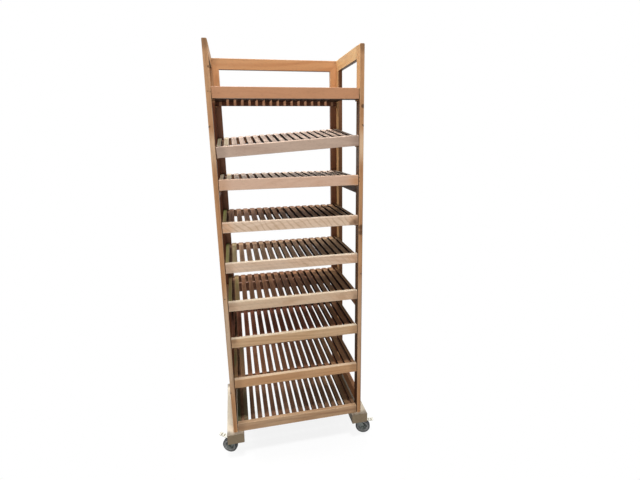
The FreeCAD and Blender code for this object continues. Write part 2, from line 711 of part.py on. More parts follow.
def axle(name):
    """An axle bolt along Y with a hexagon head and nut."""
    shank = doc.addObject("Part::Cylinder", f"{name}Shank")
    bind(shank, "Radius", "Sizes.axle_diameter / 2")
    bind(shank, "Height", FORK_WIDTH)
    along_y = turn("X", "-90")
    bind(shank, "Placement",
         turned("Sizes.wheel_trail", f"-{FORK_WIDTH} / 2", AXLE_HEIGHT, along_y))
    ends = []
    for start in (f"(-{FORK_WIDTH} / 2 - Sizes.axle_head_height)", f"({FORK_WIDTH} / 2)"):
        hexagon = doc.addObject("Part::Prism", f"{name}Hexagon")
        hexagon.Polygon = 6
        bind(hexagon, "Circumradius", "Sizes.axle_head_size")
        bind(hexagon, "Height", "Sizes.axle_head_height")
        bind(hexagon, "Placement", turned("Sizes.wheel_trail", start, AXLE_HEIGHT, along_y))
        ends.append(hexagon)
    bolt = doc.addObject("Part::MultiFuse", name)
    bolt.Shapes = [shank] + ends
    return bolt


def pedal_pin(name):
    """The pin that the brake pedal turns on, set in both legs."""
    pin = doc.addObject("Part::Cylinder", name)
    bind(pin, "Radius", "Sizes.pedal_pin_diameter / 2")
    bind(pin, "Height", FORK_WIDTH)
    bind(pin, "Placement", turned("Sizes.pedal_pivot_reach", f"-{FORK_WIDTH} / 2",
                                  "Sizes.pedal_pivot_height", turn("X", "-90")))
    return pin


def fork(side_name, end):
    """A pressed fork with its kingpin and axle bolt, and a pedal pin on braked castors."""
    prefix = f"{end}_{side_name}"
    braked = end == "front"
    body = new_body(f"{prefix}_fork_pressing")
    outline = new_sketch(body, "LegOutline", "XZ_Plane", f"{FORK_WIDTH} / 2")
    axle_x = "Sizes.wheel_trail"
    boss = "Sizes.axle_boss_radius"
    crown_end = "(Sizes.crown_diameter / 2)"
    polygon(outline, [
        (f"-{crown_end}", CROWN_TOP),
        (f"-{crown_end}", f"({CROWN_BOTTOM} - Sizes.leg_heel_height)"),
        (f"({axle_x} - {boss})", AXLE_HEIGHT),
        (f"({axle_x} + {boss})", AXLE_HEIGHT),
        (crown_end, CROWN_TOP),
    ])
    extrude(body, "Pad", "Legs", outline, FORK_WIDTH, True)
    boss_circle = new_sketch(body, "AxleBossCircle", "XZ_Plane", f"{FORK_WIDTH} / 2")
    circle(boss_circle, axle_x, AXLE_HEIGHT, f"2 * {boss}")
    extrude(body, "Pad", "AxleBoss", boss_circle, FORK_WIDTH, True)
    slot = new_sketch(body, "WheelSlotOutline", "YZ_Plane", "-Sizes.crown_diameter")
    rectangle(slot, f"-{FORK_GAP} / 2", "0", FORK_GAP, CROWN_BOTTOM)
    slot_length = f"(Sizes.crown_diameter + {axle_x} + 2 * {boss})"
    extrude(body, "Pocket", "WheelSlot", slot, slot_length, True)
    disc(body, "Crown", "0", "0", "Sizes.crown_diameter", CROWN_BOTTOM, "Sizes.crown_thickness")
    bore(body, "KingpinHole", "0", "0", "Sizes.kingpin_diameter",
         CROWN_BOTTOM, "Sizes.crown_thickness")
    cross_bore(body, "AxleHole", axle_x, AXLE_HEIGHT, "Sizes.axle_diameter")
    solids = [body, kingpin(f"{prefix}_kingpin"), axle(f"{prefix}_axle")]
    if braked:
        cross_bore(body, "PedalPinHole", "Sizes.pedal_pivot_reach",
                   "Sizes.pedal_pivot_height", "Sizes.pedal_pin_diameter")
        solids.append(pedal_pin(f"{prefix}_pedal_pin"))
    group = doc.addObject("Part::Compound", f"{prefix}_fork")
    group.Links = solids
    return keep(group, f"{prefix}_fork", castor_frame(side_name, end))


def ring(body, name, outer, inner, width):
    """Pad a ring about the axle, centred on the wheel's middle plane."""
    sketch = new_sketch(body, f"{name}Circles", "XZ_Plane", f"{width} / 2")
    circle(sketch, "Sizes.wheel_trail", AXLE_HEIGHT, outer)
    circle(sketch, "Sizes.wheel_trail", AXLE_HEIGHT, inner)
    return extrude(body, "Pad", name, sketch, width, True)


def wheel(side_name, end):
    """A wheel: a rubber tread with rounded shoulders on a recessed hub."""
    prefix = f"{end}_{side_name}"
    tread = new_body(f"{prefix}_tread")
    pad = ring(tread, "Tread", "Sizes.wheel_diameter", "Sizes.hub_diameter", "Sizes.wheel_width")
    outer = [
        n for n, box in edge_boxes(pad)
        if box.ZLength > SIZES["hub_diameter"] + TINY and box.YLength < TINY
    ]
    fillet(tread, "Shoulders", pad, outer, "Sizes.tread_shoulder_radius")

    hub = new_body(f"{prefix}_hub")
    bore_diameter = "(Sizes.axle_diameter + 2 * Sizes.bearing_clearance)"
    ring(hub, "HubDisc", "Sizes.hub_diameter", bore_diameter, "Sizes.hub_width")
    ring(hub, "HubBoss", "Sizes.hub_boss_diameter", bore_diameter, "Sizes.hub_length")
    for face, reverse in ((1, False), (-1, True)):
        lift = f"{face} * Sizes.hub_width / 2"
        sketch = new_sketch(hub, "RecessCircles", "XZ_Plane", lift)
        circle(sketch, "Sizes.wheel_trail", AXLE_HEIGHT, "Sizes.hub_recess_diameter")
        circle(sketch, "Sizes.wheel_trail", AXLE_HEIGHT, "Sizes.hub_boss_diameter")
        extrude(hub, "Pocket", "Recess", sketch, "Sizes.hub_recess_depth", reverse)
    group = doc.addObject("Part::Compound", f"{prefix}_wheel")
    group.Links = [tread, hub]
    return keep(group, f"{prefix}_wheel", castor_frame(side_name, end))


def brake_pedal(side_name, pressed):
    """A pedal over the tread, turning on its pin, drawn pressed about that pin."""
    body = new_body(f"front_{side_name}_brake_pedal")
    half = "Sizes.pedal_width / 2"
    low = "(Sizes.wheel_diameter + Sizes.brake_gap - Sizes.pedal_pivot_height)"
    thick = "Sizes.pedal_thickness"
    flat = "(Sizes.pedal_flat_reach - Sizes.pedal_pivot_reach)"
    tip = "(Sizes.pedal_tip_reach - Sizes.pedal_pivot_reach)"
    rise = "Sizes.pedal_tip_rise"
    outline = new_sketch(body, "PlateOutline", "XZ_Plane", half)
    polygon(outline, [
        ("0", low), (flat, low), (tip, f"({low} + {rise})"),
        (tip, f"({low} + {rise} + {thick})"), (flat, f"({low} + {thick})"),
        ("0", f"({low} + {thick})"),
    ])
    extrude(body, "Pad", "Plate", outline, "Sizes.pedal_width", True)
    barrel = new_sketch(body, "BarrelCircle", "XZ_Plane", half)
    circle(barrel, "0", "0", "2 * Sizes.pedal_barrel_radius")
    extrude(body, "Pad", "Barrel", barrel, "Sizes.pedal_width", True)
    hole = new_sketch(body, "PinBoreCircle", "XZ_Plane", half)
    circle(hole, "0", "0", "(Sizes.pedal_pin_diameter + 2 * Sizes.bearing_clearance)")
    extrude(body, "Pocket", "PinBore", hole, "Sizes.pedal_width")
    lift = "0" if pressed else "-Sizes.brake_travel"
    pivot = turned("Sizes.pedal_pivot_reach", "0", "Sizes.pedal_pivot_height", turn("Y", lift))
    return keep(body, body.Label, f"{castor_frame(side_name, 'front')} * {pivot}")


# ---- Screws ----

def screw(name, placement):
    """A pan-head screw along +Z, with its head just below its own origin."""
    shank = doc.addObject("Part::Cylinder", f"{name}Shank")
    bind(shank, "Radius", "Sizes.screw_diameter / 2")
    bind(shank, "Height", "Sizes.screw_length")
    head = doc.addObject("Part::Cone", f"{name}Head")
    bind(head, "Radius1", "Sizes.screw_head_diameter / 2 - Sizes.screw_head_height / 2")
    bind(head, "Radius2", "Sizes.screw_head_diameter / 2")
    bind(head, "Height", "Sizes.screw_head_height")
    bind(head, "Placement", at("0", "0", "-Sizes.screw_head_height"))
    whole = doc.addObject("Part::Fuse", name)
    whole.Base = head
    whole.Tool = shank
    bind(whole, "Placement", placement)
    return whole


def screws():
    """All screws: five through each stile, four up through each castor plate."""
    group = []
    for side_name, side in SIDES.items():
        x = f"({side} * ({OUTER_X} - {stile_screw_x()}))"
        y = f"({BACK_Y} + Sizes.board_thickness)"
        for i, height in enumerate(stile_screw_heights()):
            place = turned(x, y, f"({BEAM_TOP} + {height})", turn("X", "90"))
            group.append(screw(f"StileScrew{side_name}{i}", place))
        for end, castor_y in castor_ys().items():
            for i, (dx, dy) in enumerate(plate_hole_offsets()):
                place = at(f"({side} * {BEAM_CENTRE_X} + {dx})", f"({castor_y} + {dy})",
                           "(Sizes.castor_height - Sizes.plate_thickness)")
                group.append(screw(f"CastorScrew{side_name}{end}{i}", place))
    compound = doc.addObject("Part::Compound", "screws")
    compound.Links = group
    return keep(compound, "screws", at("0", "0", "0"))


# ---- The rack ----

for side_name in SIDES:
    for end in ("front", "back"):
        post(side_name, end)
    for name in RUNGS:
        rung(side_name, name)
    beam(side_name)
    stile(side_name)
    for end in ("front", "back"):
        castor_plate(side_name, end)
        fork(side_name, end)
        wheel(side_name, end)
back_rails()
for number in range(1, 10):
    shelf(number)
shelf_pins()
brake_pedal("left", pressed=False)
brake_pedal("right", pressed=True)
screws()
doc.recompute()

failed = [o.Name for o in doc.Objects if "Invalid" in o.State or "Error" in o.State]
if failed:
    raise RuntimeError(f"failed objects: {failed}")
for subpart in subparts:
    if subpart.Shape.isNull() or not subpart.Shape.isValid():
        raise RuntimeError(f"bad shape: {subpart.Label}")
os.makedirs("parts", exist_ok=True)
for subpart in subparts:
    subpart.Shape.exportStep(f"parts/{subpart.Label}.step")
print(f"{len(subparts)} sub-parts written")
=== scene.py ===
import json
import math

import bmesh
import bpy
from mathutils import Euler, Matrix, Vector


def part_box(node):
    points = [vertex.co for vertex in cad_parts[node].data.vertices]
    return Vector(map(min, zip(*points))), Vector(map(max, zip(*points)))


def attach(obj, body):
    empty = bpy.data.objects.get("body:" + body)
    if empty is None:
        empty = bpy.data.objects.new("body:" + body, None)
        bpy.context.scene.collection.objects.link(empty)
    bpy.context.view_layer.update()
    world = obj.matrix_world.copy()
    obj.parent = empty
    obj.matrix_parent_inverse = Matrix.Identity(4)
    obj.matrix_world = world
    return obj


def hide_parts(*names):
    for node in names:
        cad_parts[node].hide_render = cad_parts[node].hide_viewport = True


# A bakery bread rack in worn varnished wood on lockable swivel castors, dressed
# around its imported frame. Metres. +Z is up, the open front faces -Y, left is -X.

MM = 0.001
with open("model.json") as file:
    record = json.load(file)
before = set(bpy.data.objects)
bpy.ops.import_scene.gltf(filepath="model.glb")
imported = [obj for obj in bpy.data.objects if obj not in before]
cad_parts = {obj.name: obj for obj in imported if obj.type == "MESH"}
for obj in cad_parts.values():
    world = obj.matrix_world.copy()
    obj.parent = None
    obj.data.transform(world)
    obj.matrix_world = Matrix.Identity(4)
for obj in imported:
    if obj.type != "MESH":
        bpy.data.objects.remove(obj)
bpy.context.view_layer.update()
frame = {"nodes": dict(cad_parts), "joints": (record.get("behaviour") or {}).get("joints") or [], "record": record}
joints = {joint["name"]: joint for joint in frame["joints"]}
mounts = {mount["name"]: mount for mount in frame["record"]["mounts"]}

SHELVES = range(1, 10)
ASKEW_SHELF = 2
SLATS_PER_SHELF = 18
CASTORS = [(end, side) for end in ("front", "back") for side in ("left", "right")]


def srgb(red, green, blue):
    """A linear colour from 0-255 display values."""
    channels = [c / 255 for c in (red, green, blue)]
    linear = [c / 12.92 if c <= 0.04045 else ((c + 0.055) / 1.055) ** 2.4 for c in channels]
    return (*linear, 1.0)


# ---- Node graphs ----

class Graph:
    """A material's node tree, built with one call for each node."""

    def __init__(self, name):
        self.material = bpy.data.materials.new(name)
        self.material.use_nodes = True
        self.tree = self.material.node_tree
        self.tree.nodes.clear()
        self.shader = self.add("ShaderNodeBsdfPrincipled")
        self.output = self.add("ShaderNodeOutputMaterial")
        self.feed(self.output.inputs["Surface"], self.shader.outputs["BSDF"])

    def add(self, kind, **settings):
        node = self.tree.nodes.new(kind)
        for key, value in settings.items():
            setattr(node, key, value)
        return node

    def feed(self, socket, value):
        """Link a socket to an output, or set its value."""
        if isinstance(value, bpy.types.NodeSocket):
            self.tree.links.new(value, socket)
        else:
            socket.default_value = value

    def math(self, operation, first, second=0.0, clamp=False):
        node = self.add("ShaderNodeMath", operation=operation, use_clamp=clamp)
        self.feed(node.inputs[0], first)
        self.feed(node.inputs[1], second)
        return node.outputs[0]

    def vector(self, operation, first, second):
        node = self.add("ShaderNodeVectorMath", operation=operation)
        self.feed(node.inputs[0], first)
        self.feed(node.inputs[1], second)
        return node.outputs[0]

    def split(self, vector):
        node = self.add("ShaderNodeSeparateXYZ")
        self.feed(node.inputs[0], vector)
        return list(node.outputs)

    def join(self, x, y, z):
        node = self.add("ShaderNodeCombineXYZ")
        for socket, value in zip(node.inputs, (x, y, z)):
            self.feed(socket, value)
        return node.outputs[0]

    def turn(self, vector, angles):
        node = self.add("ShaderNodeMapping")
        self.feed(node.inputs["Vector"], vector)
        node.inputs["Rotation"].default_value = angles
        return node.outputs[0]

    def noise(self, vector, scale, detail=2.0, roughness=0.5, distortion=0.0):
        node = self.add("ShaderNodeTexNoise")
        self.feed(node.inputs["Vector"], vector)
        node.inputs["Scale"].default_value = scale
        node.inputs["Detail"].default_value = detail
        node.inputs["Roughness"].default_value = roughness
        node.inputs["Distortion"].default_value = distortion
        return node.outputs[0]

    def random(self, value):
        node = self.add("ShaderNodeTexWhiteNoise", noise_dimensions="1D")
        self.feed(node.inputs["W"], value)
        return node.outputs["Value"]

    def step(self, value, low, high, start=0.0, end=1.0):
        """A smooth step from start to end while the value goes from low to high."""
        node = self.add("ShaderNodeMapRange", interpolation_type="SMOOTHSTEP")
        for socket, setting in zip(node.inputs, (value, low, high, start, end)):
            self.feed(socket, setting)
        return node.outputs[0]

    def band(self, value, start, full, leave, end):
        """1 from full to leave, and 0 before start and after end, with smooth flanks."""
        return self.math("MULTIPLY", self.step(value, start, full), self.step(value, leave, end, 1, 0))

    def mix(self, factor, first, second, blend="MIX"):
        node = self.add("ShaderNodeMix", data_type="RGBA", blend_type=blend)
        self.feed(node.inputs[0], factor)
        self.feed(node.inputs[6], first)
        self.feed(node.inputs[7], second)
        return node.outputs[2]

    def bump(self, height, distance, strength=1.0):
        node = self.add("ShaderNodeBump")
        self.feed(node.inputs["Height"], height)
        node.inputs["Distance"].default_value = distance
        node.inputs["Strength"].default_value = strength
        self.feed(self.shader.inputs["Normal"], node.outputs[0])

    def local(self):
        """The object's own coordinates, in metres, which don't change with the pose."""
        return self.add("ShaderNodeTexCoord").outputs["Object"]

    def facing(self):
        """The surface normal in the object's own coordinates."""
        return self.add("ShaderNodeTexCoord").outputs["Normal"]


# ---- Where the boards are ----

class Board:
    """A board's centre and half sizes in its own frame, and the axis of its grain."""

    def __init__(self, low, high, grain, origin=(0, 0, 0), untilt=(0, 0, 0)):
        self.centre = (Vector(low) + Vector(high)) / 2
        self.half = (Vector(high) - Vector(low)) / 2
        self.grain = "XYZ".index(grain)
        self.origin = Vector(origin)
        self.untilt = untilt

    def coordinates(self, graph):
        """The surface point in the board's own frame, from the board's centre."""
        point = graph.vector("SUBTRACT", graph.local(), self.origin)
        if any(self.untilt):
            point = graph.turn(point, self.untilt)
        return graph.vector("SUBTRACT", point, self.centre)


def node_board(node, grain):
    """The board of a node that lies square to the rack's axes."""
    return Board(*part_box(node), grain)


def shelf_tilt():
    """Tilt about X and roll about Y of the askew shelf, from its mount's normal."""
    normal = mounts[f"shelf_{ASKEW_SHELF}_top"]["axis"]
    return math.atan2(-normal[1], normal[2]), math.asin(-normal[0])


def shelf_place(number):
    """Origin and untilting angles of a shelf: the middle of its front face, on its underside."""
    level = ASKEW_SHELF + 1
    low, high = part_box(f"shelf_{level}_front_rail")
    level_origin = Vector(((low.x + high.x) / 2, low.y, low.z))
    if number != ASKEW_SHELF:
        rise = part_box(f"shelf_{number}_front_rail")[0].z - level_origin.z
        return level_origin + Vector((0, 0, rise)), (0, 0, 0)
    tilt, roll = shelf_tilt()
    turn = Matrix.Rotation(tilt, 3, "X") @ Matrix.Rotation(-roll, 3, "Y")
    seat = Vector(mounts[f"shelf_{level}_top"]["pos_m"]) - level_origin
    origin = Vector(mounts[f"shelf_{ASKEW_SHELF}_top"]["pos_m"]) - turn @ seat
    return origin, (-tilt, roll, 0)


def shelf_board(number, part, grain):
    """A shelf's rail, slats or battens in the shelf's own frame."""
    level = ASKEW_SHELF + 1
    level_origin = shelf_place(level)[0]
    low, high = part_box(f"shelf_{level}_{part}")
    origin, untilt = shelf_place(number)
    return Board(low - level_origin, high - level_origin, grain, origin, untilt)


# ---- Wood ----

class Look:
    """Colours and wear of one kind of board."""

    def __init__(self, light, dark, worn, wear=0.3, grime=0.5, figure=0.5, sheen=0.45,
                 edge=0.5, gloss=0.25, end=(120, 84, 58)):
        self.light = srgb(*light)
        self.dark = srgb(*dark)
        self.worn = srgb(*worn)
        self.end = srgb(*end)
        self.wear = wear
        self.grime = grime
        self.figure = figure
        self.sheen = sheen
        self.edge = edge
        self.gloss = gloss


GRIME = srgb(70, 48, 34)
# Below: a pale of wear that also paints light on top faces, and a near-black of painted shade
RUBBED_AND_LIT = srgb(238, 220, 194)
SHADE_BLACK = srgb(26, 12, 6)


def timber(graph, board, look, seed, point=None, along=None, tint=None, painted_light_and_dirt=None, marks=()):
    """Wood on a board: growth rings, fibres, worn and dirty patches, end grain and soft edges.

    point is the surface point from the board's centre. tint changes the wood's colour
    under the wear, and the layer after it paints shade, light and some dirt over it. marks are
    dark spots, each a place on the board, a radius and a strength.
    """
    point = point or board.coordinates(graph)
    parts = graph.split(point)
    length = parts[board.grain]
    across = [i for i in range(3) if i != board.grain]
    wide, thin = [parts[i] for i in across]
    shift = Vector((seed * 1.37 % 7, seed * 2.91 % 5, seed * 0.73 % 9))
    flow = graph.vector("ADD", graph.join(wide, thin, length), shift)
    if along is not None:
        flow = graph.vector("ADD", flow, graph.join(along, along, along))

    # Growth rings as contour lines of a noise stretched along the grain
    hills = graph.noise(graph.vector("MULTIPLY", flow, (9.0, 9.0, 1.1)), 1.0, 1.5, 0.4, 0.3)
    rings = graph.math("SINE", graph.math("MULTIPLY", hills, 75.0))
    rings = graph.step(rings, -0.6, 1.0)
    fibres = graph.noise(graph.vector("MULTIPLY", flow, (650.0, 650.0, 14.0)), 1.0, 3.0, 0.6)
    pores = graph.noise(graph.vector("MULTIPLY", flow, (1500.0, 1500.0, 60.0)), 1.0, 1.0)
    pores = graph.step(pores, 0.62, 0.72)
    patches = graph.noise(graph.vector("MULTIPLY", flow, (9.0, 9.0, 3.0)), 1.0, 4.0, 0.6, 0.4)
    streaks = graph.noise(graph.vector("MULTIPLY", flow, (60.0, 60.0, 2.2)), 1.0, 3.0, 0.55)
    spots = graph.noise(graph.vector("MULTIPLY", flow, (60.0, 60.0, 25.0)), 1.0, 4.0, 0.65)

    colour = graph.mix(graph.math("MULTIPLY", rings, look.figure), look.light, look.dark)
    shade = graph.step(fibres, 0.35, 0.75)
    colour = graph.mix(graph.math("MULTIPLY", shade, 0.45 * look.figure), colour, look.dark)
    if tint is not None:
        colour = tint(graph, colour)
    worn = graph.math("MULTIPLY", graph.step(patches, 0.42, 0.62), look.wear)
    colour = graph.mix(worn, colour, look.worn)
    if look.edge:
        # Rubbed pale along the long edges, partly wear and partly a painted highlight
        inward = [graph.math("SUBTRACT", board.half[i], graph.math("ABSOLUTE", parts[i])) for i in across]
        from_edge = graph.math("ADD", *inward)
        rubbed = graph.step(graph.math("SUBTRACT", from_edge, graph.math("MULTIPLY", spots, 5 * MM)),
                            0, 2 * MM, look.edge, 0)
        colour = graph.mix(rubbed, colour, look.worn)
    dirty = graph.math("MULTIPLY", graph.step(streaks, 0.5, 0.78), 0.5 * look.grime)
    colour = graph.mix(dirty, colour, GRIME, "MULTIPLY")
    spotted = graph.math("MULTIPLY", graph.step(spots, 0.62, 0.75), 0.55 * look.grime)
    colour = graph.mix(spotted, colour, GRIME)

    # Dirt gathers towards the ends of a board
    to_end = graph.math("SUBTRACT", board.half[board.grain], graph.math("ABSOLUTE", length))
    reach = graph.math("MULTIPLY", patches, 90 * MM)
    ends = graph.math("MULTIPLY", graph.step(graph.math("SUBTRACT", to_end, reach), -40 * MM, 0, 1, 0),
                      0.7 * look.grime)
    colour = graph.mix(ends, colour, GRIME, "MULTIPLY")

    # Painted shade and light, and some dirt, laid over the wear
    if painted_light_and_dirt is not None:
        colour = painted_light_and_dirt(graph, colour)

    # Painted shade on the undersides, and end grain where the surface faces along the grain
    facing = graph.split(graph.facing())
    colour = graph.mix(graph.step(facing[2], -0.9, -0.5, 0.85, 0), colour, SHADE_BLACK)
    end_grain = graph.step(graph.math("ABSOLUTE", facing[board.grain]), 0.6, 0.8)
    colour = graph.mix(graph.math("MULTIPLY", end_grain, 0.65), colour, look.end)

    for place, radius, strength in marks:
        away = graph.add("ShaderNodeVectorMath", operation="DISTANCE")
        graph.feed(away.inputs[0], point)
        away.inputs[1].default_value = place
        mark = graph.step(away.outputs["Value"], 0.4 * radius, radius, strength, 0)
        colour = graph.mix(mark, colour, GRIME)

    colour = graph.mix(graph.math("MULTIPLY", pores, 0.3), colour, GRIME)
    graph.feed(graph.shader.inputs["Base Color"], colour)
    rough = graph.math("ADD", look.sheen, graph.math("MULTIPLY", worn, 0.3))
    rough = graph.math("ADD", rough, graph.math("MULTIPLY", spotted, 0.2))
    dull = graph.step(graph.split(colour)[0], 0.02, 0.1, 0.5, 0)
    rough = graph.math("ADD", rough, dull, clamp=True)
    graph.feed(graph.shader.inputs["Roughness"], rough)
    graph.shader.inputs["Specular IOR Level"].default_value = look.gloss
    relief = graph.math("ADD", graph.math("MULTIPLY", fibres, 0.5), graph.math("MULTIPLY", rings, 0.15))
    relief = graph.math("SUBTRACT", relief, graph.math("MULTIPLY", pores, 0.6))
    relief = graph.math("ADD", relief, graph.math("MULTIPLY", spots, 0.8))
    graph.bump(relief, 0.35 * MM)


def paint(node, material):
    """Give a node of the frame one material."""
    for slot in frame["nodes"][node].material_slots:
        slot.material = material


REDDISH = Look((184, 128, 88), (152, 98, 62), (194, 146, 108), wear=0.35, grime=0.5, gloss=0.1)
UMBER_BROWN = Look((136, 94, 60), (104, 68, 42), (152, 112, 78), wear=0.35, grime=0.7)
DEEP_BROWN = Look((96, 60, 32), (64, 36, 18), (112, 76, 46), wear=0.3, grime=0.7, gloss=0.1)
HONEY = Look((228, 184, 126), (206, 156, 100), (236, 202, 152), wear=0.4, grime=0.25)
POST = Look((192, 143, 101), (160, 107, 67), (204, 162, 123), wear=0.5, grime=0.6, gloss=0.1)
BACK = Look((206, 154, 106), (182, 125, 81), (214, 168, 125), wear=0.3, grime=0.3)
BEAM = Look((178, 168, 150), (140, 130, 114), (208, 198, 180), wear=0.6, grime=0.9, sheen=0.6,
            end=(152, 132, 104))
BATTEN = Look((176, 132, 102), (140, 96, 68), (190, 150, 122), wear=0.4, grime=0.5, sheen=0.6,
              edge=0, gloss=0.08)

# Slats, each shelf in its own wood, its first two on the left in colours of their own. The darker colours of the
# shelves in shade, and the near-black first slat of shelf 7, partly paint the shade of the shelves above
SLATS = {
    1: (Look((150, 100, 70), (112, 68, 44), (164, 118, 88), wear=0.4, grime=0.6, sheen=0.6, gloss=0.08),
        (110, 66, 42), (120, 76, 50)),
    2: (Look((224, 194, 172), (198, 166, 146), (232, 208, 190), wear=0.5, grime=0.4, gloss=0.08),
        (204, 194, 152), (232, 212, 172)),
    3: (Look((230, 200, 176), (200, 168, 144), (236, 214, 194), wear=0.5, grime=0.45, gloss=0.08),
        (208, 190, 140), (234, 212, 170)),
    4: (Look((168, 124, 94), (124, 86, 62), (184, 146, 116), wear=0.5, grime=0.7, sheen=0.6, gloss=0.08),
        (178, 176, 106), (104, 66, 42)),
    5: (Look((184, 144, 112), (140, 102, 76), (208, 174, 142), wear=0.5, grime=0.7, sheen=0.6, gloss=0.08),
        (176, 168, 104), (206, 190, 138)),
    6: (Look((162, 112, 78), (120, 78, 52), (182, 136, 104), wear=0.5, grime=0.7, sheen=0.6, gloss=0.08),
        (134, 126, 74), (170, 152, 98)),
    7: (Look((156, 94, 68), (112, 60, 42), (174, 114, 86), wear=0.4, grime=0.7, sheen=0.65, gloss=0.08),
        (24, 10, 4), (66, 34, 18)),
    8: (Look((166, 112, 80), (120, 76, 52), (186, 132, 98), wear=0.5, grime=0.7, sheen=0.65, gloss=0.08),
        (100, 92, 56), (140, 122, 84)),
    9: (Look((138, 98, 72), (98, 64, 46), (160, 120, 92), wear=0.5, grime=0.7, sheen=0.65, gloss=0.08),
        (88, 90, 62), (136, 120, 90)),
}

# Dark marks on the front posts and the rails, in millimetres: a place, a radius and a strength
POST_MARKS = {
    "left": [((-303, -197, 1795), 6, 0.8), ((-312, -197, 1706), 4, 0.6), ((-303, -197, 1704), 4, 0.6),
             ((-321, -197, 1572), 5, 0.9), ((-312, -197, 842), 4, 0.8), ((-319, -197, 369), 5, 0.8)],
    "right": [((316, -197, 1652), 12, 0.8), ((321, -197, 1572), 6, 0.9), ((302, -197, 1352), 4, 0.8),
              ((302, -197, 1337), 4, 0.8), ((314, -197, 1128), 18, 0.75), ((314, -197, 1104), 18, 0.75),
              ((316, -197, 905), 6, 0.7)],
}
RAIL_MARKS = {
    4: [((276, -10, -16), 26, 0.5), ((292, -10, -4), 22, 0.5)],
    6: [((290, -10, -14), 20, 0.3)],
    7: [((-286, -10, 12), 16, 0.3)],
}

# Front rails, each in its own wood, with how much its top is rubbed pale and painted as lit, how much varnish
# is left at its ends, and how strong its slanting streaks are
RAILS = {
    1: (Look((196, 142, 104), (182, 128, 90), (200, 150, 114), wear=0.3, grime=0.1, figure=0.2), 0, 0, 0),
    2: (Look((200, 170, 150), (178, 146, 126), (212, 186, 166), wear=0.7, grime=0.35, figure=0.4), 0, 0, 0),
    3: (Look((214, 176, 150), (196, 150, 122), (220, 188, 164), wear=0.5, grime=0.2, figure=0.3), 0, 0.7, 0),
    4: (Look((228, 200, 174), (206, 174, 144), (234, 210, 188), wear=0.5, grime=0.2, figure=0.4),
        0.3, 0.6, 0.5),
    5: (Look((222, 190, 162), (198, 162, 132), (228, 204, 180), wear=0.5, grime=0.35, figure=0.5),
        0.9, 0.3, 0.3),
    6: (Look((214, 180, 148), (188, 150, 118), (220, 196, 168), wear=0.5, grime=0.35, figure=0.5),
        0.9, 0.2, 0.2),
    7: (Look((208, 170, 130), (180, 138, 98), (214, 184, 148), wear=0.4, grime=0.4, figure=0.5), 0.9, 0.2, 0),
    8: (Look((202, 156, 112), (176, 126, 86), (208, 168, 128), wear=0.4, grime=0.4, figure=0.5), 0.7, 0.2, 0),
    9: (Look((194, 156, 120), (166, 124, 90), (202, 170, 136), wear=0.4, grime=0.45, figure=0.5), 0, 0, 0),
}
VARNISHED = srgb(216, 156, 104)
STREAK = srgb(184, 150, 116)


def rail_finish(board, top_rub_and_light, end_varnish, streaks):
    """A front rail: a top rubbed pale and painted as lit, darker varnish left at the ends, and slanting streaks.
    """
    def tint(graph, colour):
        x, _, z = graph.split(board.coordinates(graph))
        to_end = graph.math("SUBTRACT", board.half.x, graph.math("ABSOLUTE", x))
        colour = graph.mix(graph.step(to_end, 10 * MM, 60 * MM, end_varnish, 0), colour, VARNISHED)
        if streaks:
            blotch = graph.noise(graph.vector("MULTIPLY", graph.local(), (14.0, 14.0, 14.0)), 1.0, 3.0)
            slant = graph.math("MULTIPLY", graph.math("ADD", x, z), 210.0)
            wave = graph.math("SINE", graph.math("ADD", slant, graph.math("MULTIPLY", blotch, 9.0)))
            colour = graph.mix(graph.step(wave, 0.2, 1.0, 0, streaks), colour, STREAK)
        return worn_and_lit_top(top_rub_and_light)(graph, colour)
    return tint


PALE_BEIGE = srgb(212, 190, 164)
# Colours of painted shade, and a tan of painted light on the posts' inner sides above the top shelf
SHADE_RED = srgb(96, 50, 30)
SHADE_UMBER = srgb(62, 34, 18)
LIT_TAN = srgb(240, 192, 134)
PALE_SPOT = srgb(232, 198, 162)
# The top shelf's height: below it the back frame and the posts' inner sides are painted in shade
SHADE_TOP = 1.70  # metres above the floor, as are the fades' starts, full heights and ends
LOW_FADE = (0.42, 0.62, 0.9, 1.1)
HIGH_FADE = (1.40, 1.50, 1.53, 1.60)
DIRTY_EDGE_TOP = (1.30, 1.42)


def blotched_height(graph, amount):
    """The height above the floor, uneven by an amount from place to place."""
    blotch = graph.noise(graph.vector("MULTIPLY", graph.local(), (20.0, 20.0, 5.0)), 1.0, 3.0)
    return graph.math("ADD", graph.split(graph.local())[2], graph.math("MULTIPLY", blotch, amount))


def faded(strength):
    """A front post rubbed pale low down and at one place high up."""
    def tint(graph, colour):
        low = graph.band(blotched_height(graph, 0.25), *LOW_FADE)
        colour = graph.mix(graph.math("MULTIPLY", low, strength), colour, PALE_BEIGE)
        high = graph.band(blotched_height(graph, 0.04), *HIGH_FADE)
        return graph.mix(graph.math("MULTIPLY", high, 0.8), colour, PALE_SPOT)
    return tint


